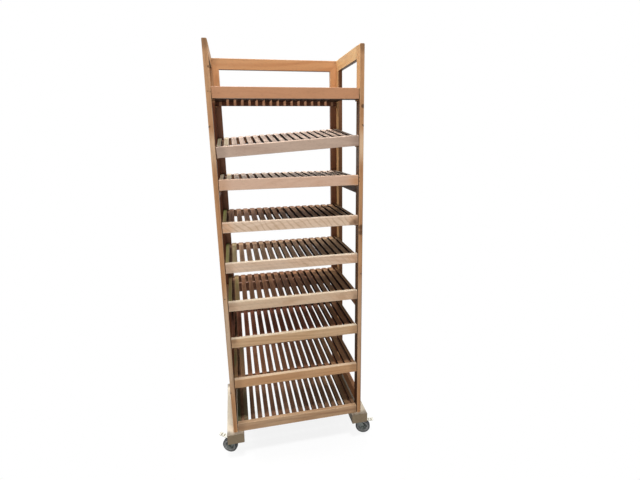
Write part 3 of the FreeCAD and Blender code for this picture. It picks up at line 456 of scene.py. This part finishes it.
def inner_side_shade_and_edge_dirt(inward, edge_dirt):
    """A front post's side towards the shelves, in painted shade up to the top shelf and painted as lit above it,
    and its dirty outer edge.
    """
    def painted_light_and_dirt(graph, colour):
        # Painted shade on the inner side below the top shelf, and painted light on it above
        towards = graph.math("MULTIPLY", graph.split(graph.facing())[0], inward)
        inner = graph.step(towards, 0.5, 0.8)
        depth = graph.step(blotched_height(graph, 0.3), 0.3, 1.2, 0.95, 0.7)
        below = graph.step(blotched_height(graph, 0.03), SHADE_TOP, SHADE_TOP + 0.03, 1, 0)
        dark = graph.math("MULTIPLY", graph.math("MULTIPLY", inner, below), depth)
        colour = graph.mix(dark, colour, SHADE_UMBER)
        above = graph.math("MULTIPLY", inner, graph.math("SUBTRACT", 1.0, below))
        colour = graph.mix(graph.math("MULTIPLY", above, 0.6), colour, LIT_TAN)
        outward = graph.math("MULTIPLY", graph.split(graph.local())[0], -inward)
        outer_face = -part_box("left_front_post")[0].x
        edge = graph.step(outward, outer_face - 4.5 * MM, outer_face - 1.5 * MM, 0, edge_dirt)
        low = graph.step(blotched_height(graph, 0.1), *DIRTY_EDGE_TOP, 1, 0)
        return graph.mix(graph.math("MULTIPLY", edge, low), colour, GRIME)
    return painted_light_and_dirt


def shaded_front_lit_side(graph, colour):
    """The right back post: painted shade on its front, a painted highlight on its side."""
    _, front, _ = graph.split(graph.facing())
    colour = graph.mix(graph.step(front, -0.9, -0.5, 0.65, 0), colour, SHADE_RED)
    side = graph.step(graph.math("ABSOLUTE", front), 0.3, 0.6, 0.8, 0)
    return graph.mix(side, colour, LIT_TAN)


def shaded_below_top_shelf(strength):
    """A back part: painted dark red shade behind the shelves, tan above the top one."""
    def painted_light_and_dirt(graph, colour):
        height = blotched_height(graph, 0.03)
        amount = graph.step(height, SHADE_TOP, SHADE_TOP + 0.03, strength, 0)
        return graph.mix(amount, colour, SHADE_RED)
    return painted_light_and_dirt


def worn_and_lit_top(strength):
    """A part whose upward faces are rubbed pale and painted as lit from above."""
    def tint(graph, colour):
        upward = graph.step(graph.split(graph.facing())[2], 0.5, 0.9, 0, strength)
        return graph.mix(upward, colour, RUBBED_AND_LIT)
    return tint


CROSS_PIECES = {
    "left": {"bottom_rung": DEEP_BROWN, "middle_rung": UMBER_BROWN, "upper_rung": REDDISH,
             "top_rail": HONEY},
    "right": {"bottom_rung": REDDISH, "middle_rung": REDDISH, "upper_rung": DEEP_BROWN,
              "top_rail": HONEY},
}


def dress_frame():
    """Posts, rungs, back frame and beams."""
    seed = 11
    for side, inward, rub, edge_dirt in (("left", 1, 0.7, 0.0), ("right", -1, 0.35, 0.6)):
        wood(f"{side}_front_post", "Z", POST, seed, faded(rub), inner_side_shade_and_edge_dirt(inward, edge_dirt),
             POST_MARKS[side])
        # The back posts are painted in shade: below the top shelf on the left, on the front on the right
        back_shade = shaded_below_top_shelf(0.95) if side == "left" else shaded_front_lit_side
        wood(f"{side}_back_post", "Z", POST, seed + 1, painted_light_and_dirt=back_shade)
        for i, (name, look) in enumerate(CROSS_PIECES[side].items()):
            wood(f"{side}_{name}", "Y", look, seed + 2 + i)
        wood(f"back_{side}_stile", "Z", BACK, seed + 6, painted_light_and_dirt=shaded_below_top_shelf(0.8))
        wood(f"{side}_base_beam", "Y", BEAM, seed + 7, worn_and_lit_top(0.7 * rub))
        seed += 8
    wood("back_rails", "X", BACK, seed, painted_light_and_dirt=shaded_below_top_shelf(0.8))
    wood("shelf_pins", "X", POST, seed + 1)


def wood(node, grain, look, seed, tint=None, painted_light_and_dirt=None, marks=()):
    """Timber on a node that lies square to the rack's axes, its marks given from the rack's origin."""
    graph = Graph(f"{node}_wood")
    board = node_board(node, grain)
    marks = [(Vector(place) * MM - board.centre, radius * MM, strength)
             for place, radius, strength in marks]
    timber(graph, board, look, seed, tint=tint, painted_light_and_dirt=painted_light_and_dirt, marks=marks)
    paint(node, graph.material)


SLAT_WIDTH = 22 * MM
END_SLAT_WIDTH = 17 * MM


def slat_centres(shelf_width):
    """The middle of each slat, from the left edge of the shelf, and the first gap's middle and pitch."""
    inner = SLATS_PER_SHELF - 2
    gap = (shelf_width - 2 * END_SLAT_WIDTH - inner * SLAT_WIDTH) / (SLATS_PER_SHELF - 1)
    pitch = SLAT_WIDTH + gap
    first = END_SLAT_WIDTH + gap + SLAT_WIDTH / 2
    centres = [END_SLAT_WIDTH / 2] + [first + i * pitch for i in range(inner)]
    return centres + [shelf_width - END_SLAT_WIDTH / 2], END_SLAT_WIDTH + gap / 2, pitch


def slat_point(graph, board):
    """The point on its own slat, and the slat's number, counted from the left."""
    x, y, z = graph.split(board.coordinates(graph))
    _, first_gap, pitch = slat_centres(2 * board.half.x)
    from_gap = graph.math("ADD", x, board.half.x - first_gap)
    cell = graph.math("FLOOR", graph.math("DIVIDE", from_gap, pitch))
    middle = graph.math("MULTIPLY", graph.math("ADD", cell, 0.5), pitch)
    return graph.join(graph.math("SUBTRACT", from_gap, middle), y, z), graph.math("ADD", cell, 1.0)


PALE_SHELVES = (2, 3)
OLIVE = srgb(176, 144, 104)
# The dark red of the slats' painted shadow on the battens
SLAT_SHADOW_RED = srgb(66, 30, 18)


def dress_shelf(number):
    """Front rail, slats and battens of a shelf."""
    graph = Graph(f"shelf_{number}_rail_wood")
    look, top_rub_and_light, end_varnish, streaks = RAILS[number]
    board = shelf_board(number, "front_rail", "X")
    marks = [(Vector(place) * MM, radius * MM, strength)
             for place, radius, strength in RAIL_MARKS.get(number, ())]
    timber(graph, board, look, 40 + number, tint=rail_finish(board, top_rub_and_light, end_varnish, streaks),
           marks=marks)
    paint(f"shelf_{number}_front_rail", graph.material)

    graph = Graph(f"shelf_{number}_slat_wood")
    look, first, second = SLATS[number]
    board = shelf_board(number, "slats", "Y")
    point, slat = slat_point(graph, board)
    board.half.x = SLAT_WIDTH / 2
    chance = graph.random(graph.math("ADD", slat, 31.0 * number))
    pale = number in PALE_SHELVES

    def tint(tree, colour):
        """Two odd slats on the left, each a little different, and olive ones on the right of dark shelves."""
        level = tree.step(chance, 0, 1, 0.86 if pale else 0.76, 1.1)
        colour = tree.mix(1.0, colour, tree.join(level, level, level), "MULTIPLY")
        colour = tree.mix(tree.step(slat, 1.4, 1.6, 0.85, 0), colour, srgb(*second))
        colour = tree.mix(tree.step(slat, 0.4, 0.6, 0.85, 0), colour, srgb(*first))
        return colour if pale else tree.mix(tree.step(slat, 11.0, 15.0, 0, 0.5), colour, OLIVE)

    # Painted shade on the slats' sides, which face the gaps between them
    def shaded_sides(tree, colour):
        sideways = tree.math("ABSOLUTE", tree.split(tree.facing())[0])
        return tree.mix(tree.step(sideways, 0.5, 0.85, 0, 0.92), colour, SHADE_BLACK)

    along = graph.math("MULTIPLY", chance, 40.0)
    timber(graph, board, look, 60 + number, point, along, tint, shaded_sides)
    paint(f"shelf_{number}_slats", graph.material)

    graph = Graph(f"shelf_{number}_batten_wood")
    board = shelf_board(number, "battens", "X")
    # The batten is painted dark under each slat as the slats' shadow, and lighter where light falls through the
    # gaps
    from_slat = graph.math("ABSOLUTE", graph.split(slat_point(graph, board)[0])[0])
    slat_shadow = graph.step(from_slat, SLAT_WIDTH / 2 - MM, SLAT_WIDTH / 2 + MM, 0.85, 0)
    timber(graph, board, BATTEN, 80 + number,
           painted_light_and_dirt=lambda tree, colour: tree.mix(slat_shadow, colour, SLAT_SHADOW_RED))
    paint(f"shelf_{number}_battens", graph.material)


# ---- Metal, rubber and plastic ----

def metal(name, bright, dull, rough):
    """Dull plated steel with cloudy patches and fine scratches."""
    graph = Graph(name)
    point = graph.local()
    clouds = graph.noise(point, 60.0, 4.0, 0.6)
    scratches = graph.noise(graph.vector("MULTIPLY", point, (900.0, 120.0, 900.0)), 1.0, 2.0)
    colour = graph.mix(graph.step(clouds, 0.35, 0.7), bright, dull)
    graph.feed(graph.shader.inputs["Base Color"], colour)
    graph.shader.inputs["Metallic"].default_value = 0.85
    graph.feed(graph.shader.inputs["Roughness"], graph.step(clouds, 0.2, 0.8, rough, rough + 0.2))
    graph.bump(graph.math("ADD", clouds, graph.math("MULTIPLY", scratches, 0.3)), 0.1 * MM)
    return graph.material


def polymer(name, base, scuffed, rough, grain, tint=None):
    """Moulded rubber or plastic with scuffs and a fine grain."""
    graph = Graph(name)
    point = graph.local()
    scuffs = graph.noise(point, 90.0, 5.0, 0.65, 0.6)
    fine = graph.noise(point, grain, 2.0)
    colour = graph.mix(graph.step(scuffs, 0.48, 0.72), base, scuffed)
    if tint is not None:
        colour = tint(graph, colour)
    graph.feed(graph.shader.inputs["Base Color"], colour)
    graph.feed(graph.shader.inputs["Roughness"], graph.step(scuffs, 0.3, 0.8, rough, rough + 0.2))
    graph.shader.inputs["Specular IOR Level"].default_value = 0.4
    graph.bump(graph.math("ADD", fine, scuffs), 0.12 * MM)
    return graph.material


zinc = metal("zinc", srgb(170, 170, 164), srgb(116, 114, 108), 0.38)
dark_steel = metal("dark_steel", srgb(92, 84, 76), srgb(60, 50, 42), 0.5)
fork_steel = metal("fork_steel", srgb(112, 116, 112), srgb(74, 78, 74), 0.45)
rim_plastic = polymer("rim_plastic", srgb(166, 166, 164), srgb(132, 132, 129), 0.4, 900.0)
pedal_enamel = polymer("pedal_enamel", srgb(214, 212, 202), srgb(172, 169, 156), 0.4, 700.0)
grip_rubber = polymer("grip_rubber", srgb(118, 108, 86), srgb(142, 132, 110), 0.7, 1800.0)


# ---- Mesh helpers ----

def make_piece(name, mesh_data, material, body, place=Matrix.Identity(4), angle=35):
    """A mesh object from a bmesh, in place, riding on a body."""
    mesh = bpy.data.meshes.new(name)
    mesh_data.normal_update()
    mesh_data.to_mesh(mesh)
    mesh_data.free()
    mesh.transform(place)
    mesh.polygons.foreach_set("use_smooth", [True] * len(mesh.polygons))
    mesh.set_sharp_from_angle(angle=math.radians(angle))
    mesh.materials.append(material)
    piece = bpy.data.objects.new(name, mesh)
    bpy.context.scene.collection.objects.link(piece)
    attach(piece, body)
    return piece


def lathe(mesh_data, profile, steps=48, axis="Y", centre=(0, 0, 0)):
    """Turn a closed profile of (along, radius) points about an axis through a centre."""
    rings = []
    for i in range(steps):
        angle = 2 * math.pi * i / steps
        c, s = math.cos(angle), math.sin(angle)
        ring = []
        for along, radius in profile:
            place = {"Y": (radius * c, along, radius * s), "Z": (radius * c, radius * s, along)}[axis]
            ring.append(mesh_data.verts.new(Vector(place) + Vector(centre)))
        rings.append(ring)
    count = len(profile)
    for i in range(steps):
        here, there = rings[i], rings[(i + 1) % steps]
        for j in range(count):
            k = (j + 1) % count
            mesh_data.faces.new((here[j], here[k], there[k], there[j]))
    bmesh.ops.remove_doubles(mesh_data, verts=mesh_data.verts, dist=1e-6)
    bmesh.ops.recalc_face_normals(mesh_data, faces=mesh_data.faces)


# ---- Castors ----

TREAD_WIDTH = 24 * MM
TREAD_RADIUS = 37.5 * MM
HUB_RADIUS = 26 * MM
HUB_LENGTH = 25.5 * MM
RIM_HALF = 10 * MM
AXLE_BORE = 4.05 * MM


def castor_place(end, side):
    """A castor's frame: the floor under its kingpin, X towards its wheel, Y along its axle."""
    kingpin = Vector(joints[f"{end}_{side}_swivel"]["pos_m"])
    spin = joints[f"{end}_{side}_wheel_spin"]
    across = Vector(spin["axis"])
    out = across.cross(Vector((0, 0, 1)))
    place = Matrix((out, across, Vector((0, 0, 1)))).transposed().to_4x4()
    place.translation = (kingpin.x, kingpin.y, 0)
    wheel = place.inverted() @ Vector(spin["pos_m"])
    return place, wheel


def tread_profile():
    """Section of a tread: flat sides, round shoulders and a shallow moulding line."""
    half, shoulder, line = TREAD_WIDTH / 2, 6 * MM, 0.5 * MM
    points = [(-half, HUB_RADIUS + 0.1 * MM)]
    for i in range(9):
        angle = math.radians(180 - 90 * i / 8)
        points.append((-half + shoulder + shoulder * math.cos(angle),
                       TREAD_RADIUS - shoulder + shoulder * math.sin(angle)))
    points += [(-1.5 * line, TREAD_RADIUS), (0, TREAD_RADIUS - line)]
    mirrored = [(-along, radius) for along, radius in reversed(points[:-1])]
    return points + mirrored


def hub_profile(face):
    """Section of a hub's rim, web and boss; face is half the thickness of the web."""
    rim_half, lip = RIM_HALF, 2.6 * MM
    boss_radius, boss_half = 9 * MM, HUB_LENGTH / 2
    half = [
        (0, HUB_RADIUS), (rim_half - 0.6 * MM, HUB_RADIUS), (rim_half, HUB_RADIUS - 0.6 * MM),
        (rim_half, HUB_RADIUS - lip), (rim_half - 0.8 * MM, HUB_RADIUS - lip - 0.8 * MM),
        (face + 1.2 * MM, HUB_RADIUS - lip - 1.6 * MM), (face, HUB_RADIUS - lip - 3 * MM),
        (face, boss_radius + 2 * MM), (face + 1.5 * MM, boss_radius + 0.4 * MM),
        (boss_half - 0.6 * MM, boss_radius - 0.4 * MM), (boss_half, boss_radius - 1 * MM),
        (boss_half, AXLE_BORE),
    ]
    return half + [(-along, radius) for along, radius in reversed(half[1:])]


RING_GREY = srgb(150, 150, 148)


def worn_ring(centre, axis):
    """A pale ring of wear where a tread meets its hub, round an axle."""
    def tint(graph, colour):
        arm = graph.vector("CROSS_PRODUCT", graph.vector("SUBTRACT", graph.local(), centre), axis)
        reach = graph.add("ShaderNodeVectorMath", operation="LENGTH")
        graph.feed(reach.inputs[0], arm)
        radius = reach.outputs["Value"]
        ring = graph.band(radius, 19.5 * MM, 22 * MM, 28 * MM, 31.5 * MM)
        return graph.mix(graph.math("MULTIPLY", ring, 0.9), colour, RING_GREY)
    return tint


def ribs(mesh_data, centre, count=6):
    """Radial ribs on both faces of a hub's web."""
    for face in (-1, 1):
        for i in range(count):
            made = bmesh.ops.create_cube(mesh_data, size=1.0)["verts"]
            size = Matrix.Diagonal((13.5 * MM, 3 * MM, 1.6 * MM, 1.0))
            lift = Matrix.Translation((15.5 * MM, face * 6.4 * MM, 0))
            spin = Matrix.Rotation(2 * math.pi * i / count, 4, "Y")
            bmesh.ops.transform(mesh_data, matrix=Matrix.Translation(centre) @ spin @ lift @ size,
                                verts=made)


def wheel(end, side):
    """A wheel: rubber tread, ribbed plastic hub and a pale ring on each face of its rim."""
    place, centre = castor_place(end, side)
    body, prefix = f"{end}_{side}_wheel", f"{end}_{side}"
    axis = place.to_3x3() @ Vector((0, 1, 0))
    ring_wear = worn_ring(place @ centre, axis)
    tread_rubber = polymer(f"{prefix}_tread_rubber", srgb(62, 64, 66), srgb(96, 96, 95), 0.6, 2200.0,
                           ring_wear)
    hub_plastic = polymer(f"{prefix}_hub_plastic", srgb(80, 85, 82), srgb(104, 107, 103), 0.45, 900.0,
                          ring_wear)
    data = bmesh.new()
    lathe(data, tread_profile(), 72, "Y", centre)
    tread = make_piece(f"{prefix}_tread", data, tread_rubber, body, place)
    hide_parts(f"{prefix}_wheel")

    data = bmesh.new()
    lathe(data, hub_profile(5.6 * MM), 72, "Y", centre)
    ribs(data, centre)
    hub = make_piece(f"{prefix}_hub", data, hub_plastic, body, place)
    for face in (-1, 1):
        data = bmesh.new()
        foot, top = face * RIM_HALF, face * (RIM_HALF + 0.35 * MM)
        ring = [(foot, HUB_RADIUS - 0.7 * MM), (top, HUB_RADIUS - 1 * MM),
                (top, HUB_RADIUS - 2.2 * MM), (foot, HUB_RADIUS - 2.6 * MM)]
        lathe(data, ring, 72, "Y", centre)
        name = f"{prefix}_rim_ring_{'near' if face < 0 else 'far'}"
        rim = make_piece(name, data, rim_plastic, body, place)


def race_skirt(end, side):
    """The pressed skirt of the ball race, round the fork's crown."""
    place = castor_place(end, side)[0]
    low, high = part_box(f"{end}_{side}_castor_plate")
    top = high.z - 3 * MM
    profile = [(top, 22.4 * MM), (top, 27 * MM), (top - 1 * MM, 26.4 * MM)]
    profile += [(top - 3 * MM, 25.4 * MM), (top - 5.5 * MM, 24.4 * MM), (top - 7.5 * MM, 23.6 * MM),
                (top - 8.2 * MM, 23.2 * MM), (top - 8.2 * MM, 22.4 * MM)]
    data = bmesh.new()
    lathe(data, profile, 60, "Z")
    skirt = make_piece(f"{end}_{side}_race_skirt", data, zinc, "frame", place)


def screws():
    """Pan heads with a cross recess on the screws of the back frame and the castor plates."""
    source = frame["nodes"]["screws"].data
    data = bmesh.new()
    for centre, outward in screw_heads(source):
        screw_head(data, centre, outward)
    heads = make_piece("screw_heads", data, zinc, "frame", angle=50)


SCREW_NECK_RADIUS = 4.5 * MM  # wider than the shank, narrower than the head


def screw_heads(mesh):
    """Centre of the underside and outward direction of each screw's head, from the solids."""
    data = bmesh.new()
    data.from_mesh(mesh)
    bmesh.ops.remove_doubles(data, verts=data.verts, dist=1e-6)
    seen, heads = set(), []
    for start in data.verts:
        if start in seen:
            continue
        island, front = {start}, [start]
        while front:
            for edge in front.pop().link_edges:
                for vert in edge.verts:
                    if vert not in island:
                        island.add(vert)
                        front.append(vert)
        seen |= island
        points = [v.co.copy() for v in island]
        spans = [max(p[i] for p in points) - min(p[i] for p in points) for i in range(3)]
        axis = spans.index(max(spans))
        middle = [(max(p[i] for p in points) + min(p[i] for p in points)) / 2 for i in range(3)]
        wide = [p for p in points if sum((p[i] - middle[i]) ** 2 for i in range(3) if i != axis)
                > SCREW_NECK_RADIUS ** 2]
        level = min((p[axis] for p in wide), key=lambda place: abs(place - middle[axis]))
        sign = 1 if level > middle[axis] else -1
        centre, outward = Vector(middle), Vector((0, 0, 0))
        centre[axis], outward[axis] = level, sign
        heads.append((centre, outward))
    data.free()
    return heads


def screw_head(data, centre, outward):
    """A domed head with a cross recess, as a fine disc of rings."""
    radius, height, depth = 5 * MM, 2.95 * MM, 1.6 * MM
    arm, slot = 2.6 * MM, 0.75 * MM
    rings, steps = 14, 48
    turn = Vector((0, 0, 1)).rotation_difference(outward).to_matrix().to_4x4()
    place = Matrix.Translation(centre) @ turn

    def lift(x, y):
        reach = math.hypot(x, y) / radius
        dome = height * (1 - 0.45 * reach ** 2.6)
        inside = (abs(x) < slot and abs(y) < arm) or (abs(y) < slot and abs(x) < arm)
        return dome - depth if inside else dome

    middle = data.verts.new(place @ Vector((0, 0, lift(0, 0))))
    rows = []
    for i in range(1, rings + 1):
        row = []
        for j in range(steps):
            angle = 2 * math.pi * j / steps
            x, y = radius * i / rings * math.cos(angle), radius * i / rings * math.sin(angle)
            row.append(data.verts.new(place @ Vector((x, y, lift(x, y)))))
        rows.append(row)
    foot = [data.verts.new(place @ Vector((radius * 0.96 * math.cos(2 * math.pi * j / steps),
                                           radius * 0.96 * math.sin(2 * math.pi * j / steps), 0)))
            for j in range(steps)]
    rows.append(foot)
    for j in range(steps):
        k = (j + 1) % steps
        data.faces.new((middle, rows[0][j], rows[0][k]))
        for inner, outer in zip(rows, rows[1:]):
            data.faces.new((inner[j], outer[j], outer[k], inner[k]))
    data.faces.new(list(reversed(foot)))


# ---- Brake pedals ----

def pedal(side):
    """A pressed pedal with turned edges, a curled barrel and two grip bars."""
    castor, _ = castor_place("front", side)
    hinge = joints[f"front_{side}_brake"]
    pivot = Vector(hinge["pos_m"])
    low, high = hinge["range_deg"]
    lift = -math.radians(high) if side == "left" else 0.0
    place = castor.copy()
    place.translation = pivot
    place = place @ Matrix.Rotation(lift, 4, "Y")
    body = f"front_{side}_brake_pedal"

    half, thick = 12 * MM, 2.4 * MM
    floor = -3.7 * MM
    flat, tip, rise = 52 * MM, 69.6 * MM, 3 * MM
    corner = 7 * MM
    columns, rows = 28, 12
    data = bmesh.new()
    skins = []
    for level in (0, thick):
        grid = []
        for i in range(columns + 1):
            x = tip * i / columns
            inset = 0.0
            if x > tip - corner:
                inset = corner - math.sqrt(max(corner ** 2 - (x - tip + corner) ** 2, 0.0))
            bend = rise * max(0.0, (x - flat) / (tip - flat)) ** 1.4
            row = []
            for j in range(rows + 1):
                share = 2 * j / rows - 1
                y = share * (half - inset)
                edge = 1.1 * MM * max(0.0, (abs(share) - 0.7) / 0.3) ** 2
                row.append(data.verts.new((x, y, floor + level + bend + edge)))
            grid.append(row)
        skins.append(grid)
    lower, upper = skins
    for i in range(columns):
        for j in range(rows):
            data.faces.new((upper[i][j], upper[i + 1][j], upper[i + 1][j + 1], upper[i][j + 1]))
            data.faces.new((lower[i][j], lower[i][j + 1], lower[i + 1][j + 1], lower[i + 1][j]))
    for i in range(columns):
        data.faces.new((lower[i][0], lower[i + 1][0], upper[i + 1][0], upper[i][0]))
        data.faces.new((lower[i + 1][rows], lower[i][rows], upper[i][rows], upper[i + 1][rows]))
    for j in range(rows):
        data.faces.new((lower[0][j + 1], lower[0][j], upper[0][j], upper[0][j + 1]))
        data.faces.new((lower[columns][j], lower[columns][j + 1],
                        upper[columns][j + 1], upper[columns][j]))
    plate = make_piece(f"front_{side}_pedal_plate", data, pedal_enamel, body, place)
    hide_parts(f"front_{side}_brake_pedal")

    data = bmesh.new()
    barrel = [(-half, 3.6 * MM), (half, 3.6 * MM), (half, 2.1 * MM), (-half, 2.1 * MM)]
    lathe(data, barrel, 40, "Y")
    curl = make_piece(f"front_{side}_pedal_barrel", data, pedal_enamel, body, place)

    data = bmesh.new()
    for reach in (44 * MM, 58 * MM):
        bend = rise * max(0.0, (reach - flat) / (tip - flat)) ** 1.4
        bar(data, Vector((reach, 0, floor + thick + bend)), 2 * half - 7 * MM, 4.4 * MM, 1.6 * MM)
    grips = make_piece(f"front_{side}_pedal_grips", data, grip_rubber, body, place)


def bar(data, foot, length, width, height):
    """A bar across Y with a rounded top and rounded ends."""
    steps, stations = 10, 16
    rings = []
    for i in range(stations + 1):
        share = 2 * i / stations - 1
        y = share * length / 2
        shrink = math.sqrt(max(1 - max(0.0, (abs(share) - 0.86) / 0.14) ** 2, 0.04))
        ring = []
        for j in range(steps + 1):
            angle = math.pi * j / steps
            x = width / 2 * shrink * math.cos(angle)
            z = height * shrink * math.sin(angle) ** 0.7
            ring.append(data.verts.new(foot + Vector((x, y, z - 0.3 * MM))))
        rings.append(ring)
    for here, there in zip(rings, rings[1:]):
        for j in range(steps):
            data.faces.new((here[j], here[j + 1], there[j + 1], there[j]))
        data.faces.new((here[0], there[0], there[steps], here[steps]))
    data.faces.new(rings[0])
    data.faces.new(list(reversed(rings[-1])))
    bmesh.ops.recalc_face_normals(data, faces=data.faces)


# ---- Nails ----

def nails(number):
    """Small nail heads, one at each end of every slat of a shelf."""
    origin, untilt = shelf_place(number)
    turn = Euler(untilt).to_matrix().inverted().to_4x4()
    place = Matrix.Translation(origin) @ turn
    level = ASKEW_SHELF + 1
    slats_low, slats_high = [c - shelf_place(level)[0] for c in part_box(f"shelf_{level}_slats")]
    front, back = 15 * MM, 7 * MM
    data = bmesh.new()
    head = [(-0.6 * MM, 0.0), (-0.6 * MM, 1.5 * MM), (0.05 * MM, 1.6 * MM), (0.25 * MM, 1.1 * MM),
            (0.3 * MM, 0.0)]
    for i, centre in enumerate(slat_centres(slats_high.x - slats_low.x)[0]):
        x = slats_low.x + centre
        for y in (slats_low.y + front, slats_high.y - back):
            off = Vector((1.7 * MM * math.sin(5.1 * i + number), 2.2 * MM * math.cos(3.7 * i + number), 0))
            lathe(data, head, 12, "Z", Vector((x, y, slats_high.z)) + off)
    piece = make_piece(f"shelf_{number}_nails", data, dark_steel, f"shelf_{number}", place)


# ---- Stage, lights and camera ----

def stage():
    """A pale floor and a pale surround, which also show in gloss."""
    floor_data = bmesh.new()
    bmesh.ops.create_grid(floor_data, x_segments=1, y_segments=1, size=6.0)
    mesh = bpy.data.meshes.new("floor")
    floor_data.to_mesh(mesh)
    floor_data.free()
    floor = bpy.data.objects.new("floor", mesh)
    bpy.context.scene.collection.objects.link(floor)
    graph = Graph("floor_paper")
    looked_at = seen(graph)
    graph.feed(graph.shader.inputs["Base Color"], graph.mix(looked_at, FLOOR_TONE, PAPER_WHITE))
    graph.shader.inputs["Roughness"].default_value = 0.9
    glow = graph.add("ShaderNodeEmission")
    glow.inputs["Strength"].default_value = 1.0
    mixer = graph.add("ShaderNodeMixShader")
    away = graph.add("ShaderNodeVectorMath", operation="LENGTH")
    graph.feed(away.inputs[0], graph.local())
    blank = graph.step(away.outputs["Value"], *SHADOW_FADE, SHADOW_BLANK, 1.0)
    graph.feed(mixer.inputs[0], graph.math("MULTIPLY", looked_at, blank))
    graph.feed(mixer.inputs[1], graph.shader.outputs["BSDF"])
    graph.feed(mixer.inputs[2], glow.outputs[0])
    graph.feed(graph.output.inputs["Surface"], mixer.outputs[0])
    mesh.materials.append(graph.material)

    world = bpy.data.worlds.new("studio")
    bpy.context.scene.world = world
    world.use_nodes = True
    tree = world.node_tree
    sky = tree.nodes["Background"]
    path = tree.nodes.new("ShaderNodeLightPath")
    looked = path.outputs["Is Camera Ray"]
    for ray in ("Is Glossy Ray", "Is Transmission Ray"):
        either = tree.nodes.new("ShaderNodeMath")
        either.operation = "MAXIMUM"
        tree.links.new(looked, either.inputs[0])
        tree.links.new(path.outputs[ray], either.inputs[1])
        looked = either.outputs[0]
    level = tree.nodes.new("ShaderNodeMapRange")
    level.inputs["To Min"].default_value = AMBIENT
    level.inputs["To Max"].default_value = 1.0
    tree.links.new(looked, level.inputs["Value"])
    tree.links.new(level.outputs[0], sky.inputs["Strength"])
    sky.inputs["Color"].default_value = (1, 1, 1, 1)


def seen(graph):
    """1 where a camera, glossy or transmission ray looks, else 0."""
    path = graph.add("ShaderNodeLightPath")
    either = graph.math("MAXIMUM", path.outputs["Is Camera Ray"], path.outputs["Is Glossy Ray"])
    return graph.math("MAXIMUM", either, path.outputs["Is Transmission Ray"])


AMBIENT = 0.27
SHADOW_FADE = (0.2, 0.65)  # metres from the rack's middle
SHADOW_BLANK = 0.86        # how far the shadow is blanked out below the rack
FLOOR_TONE = srgb(90, 90, 90)
PAPER_WHITE = srgb(250, 250, 250)


def lamp(name, place, target, size, power):
    """A soft rectangular lamp aimed at a point."""
    data = bpy.data.lights.new(name, "AREA")
    data.shape = "RECTANGLE"
    data.size, data.size_y = size
    data.energy = power
    piece = bpy.data.objects.new(name, data)
    bpy.context.scene.collection.objects.link(piece)
    piece.location = place
    aim = Vector(target) - Vector(place)
    piece.rotation_euler = aim.to_track_quat("-Z", "Y").to_euler()


def lamps():
    """Two lights overhead, in front of and behind the rack, one on the left and a low fill."""
    lamp("over_front", (0.0, -1.9, 6.5), (0, -0.2, 0.8), (1.0, 0.8), 300)
    lamp("over_back", (0.0, 2.4, 6.5), (0, 0.2, 0.9), (1.4, 1.2), 400)
    lamp("front", (-0.5, -3.2, 0.9), (0, 0, 1.0), (2.4, 1.4), 30)
    lamp("left", (-3.4, 0.6, 2.6), (0, 0.1, 1.3), (1.2, 1.2), 60)


CAMERA_PLACE = Vector((-238.9, -1871.7, 1524.6)) * MM
CAMERA_YAW = 0.2118
CAMERA_PITCH = -0.2528
CAMERA_ROLL = 0.016
SENSOR = 36.0
FOCAL_PIXELS = 395.22
IMAGE_WIDTH = 640


def camera():
    """The photograph's viewpoint, from yaw, pitch and roll in radians."""
    forward = Vector((math.sin(CAMERA_YAW) * math.cos(CAMERA_PITCH),
                      math.cos(CAMERA_YAW) * math.cos(CAMERA_PITCH), math.sin(CAMERA_PITCH)))
    level_right = Vector((math.cos(CAMERA_YAW), -math.sin(CAMERA_YAW), 0))
    down = forward.cross(level_right)
    right = level_right * math.cos(CAMERA_ROLL) + down * math.sin(CAMERA_ROLL)
    up = level_right * math.sin(CAMERA_ROLL) - down * math.cos(CAMERA_ROLL)
    data = bpy.data.cameras.new("camera")
    data.sensor_width = SENSOR
    data.lens = FOCAL_PIXELS * SENSOR / IMAGE_WIDTH
    piece = bpy.data.objects.new("camera", data)
    bpy.context.scene.collection.objects.link(piece)
    matrix = Matrix((right, up, -forward)).transposed().to_4x4()
    matrix.translation = CAMERA_PLACE
    piece.matrix_world = matrix
    bpy.context.scene.camera = piece


# ---- The scene ----

camera()
stage()
lamps()
bpy.context.scene.view_settings.view_transform = "Standard"

dress_frame()
for number in SHELVES:
    dress_shelf(number)
    nails(number)
for end, side in CASTORS:
    wheel(end, side)
    race_skirt(end, side)
    paint(f"{end}_{side}_fork", fork_steel)
    paint(f"{end}_{side}_castor_plate", zinc)
paint("screws", zinc)
screws()
for side in ("left", "right"):
    pedal(side)
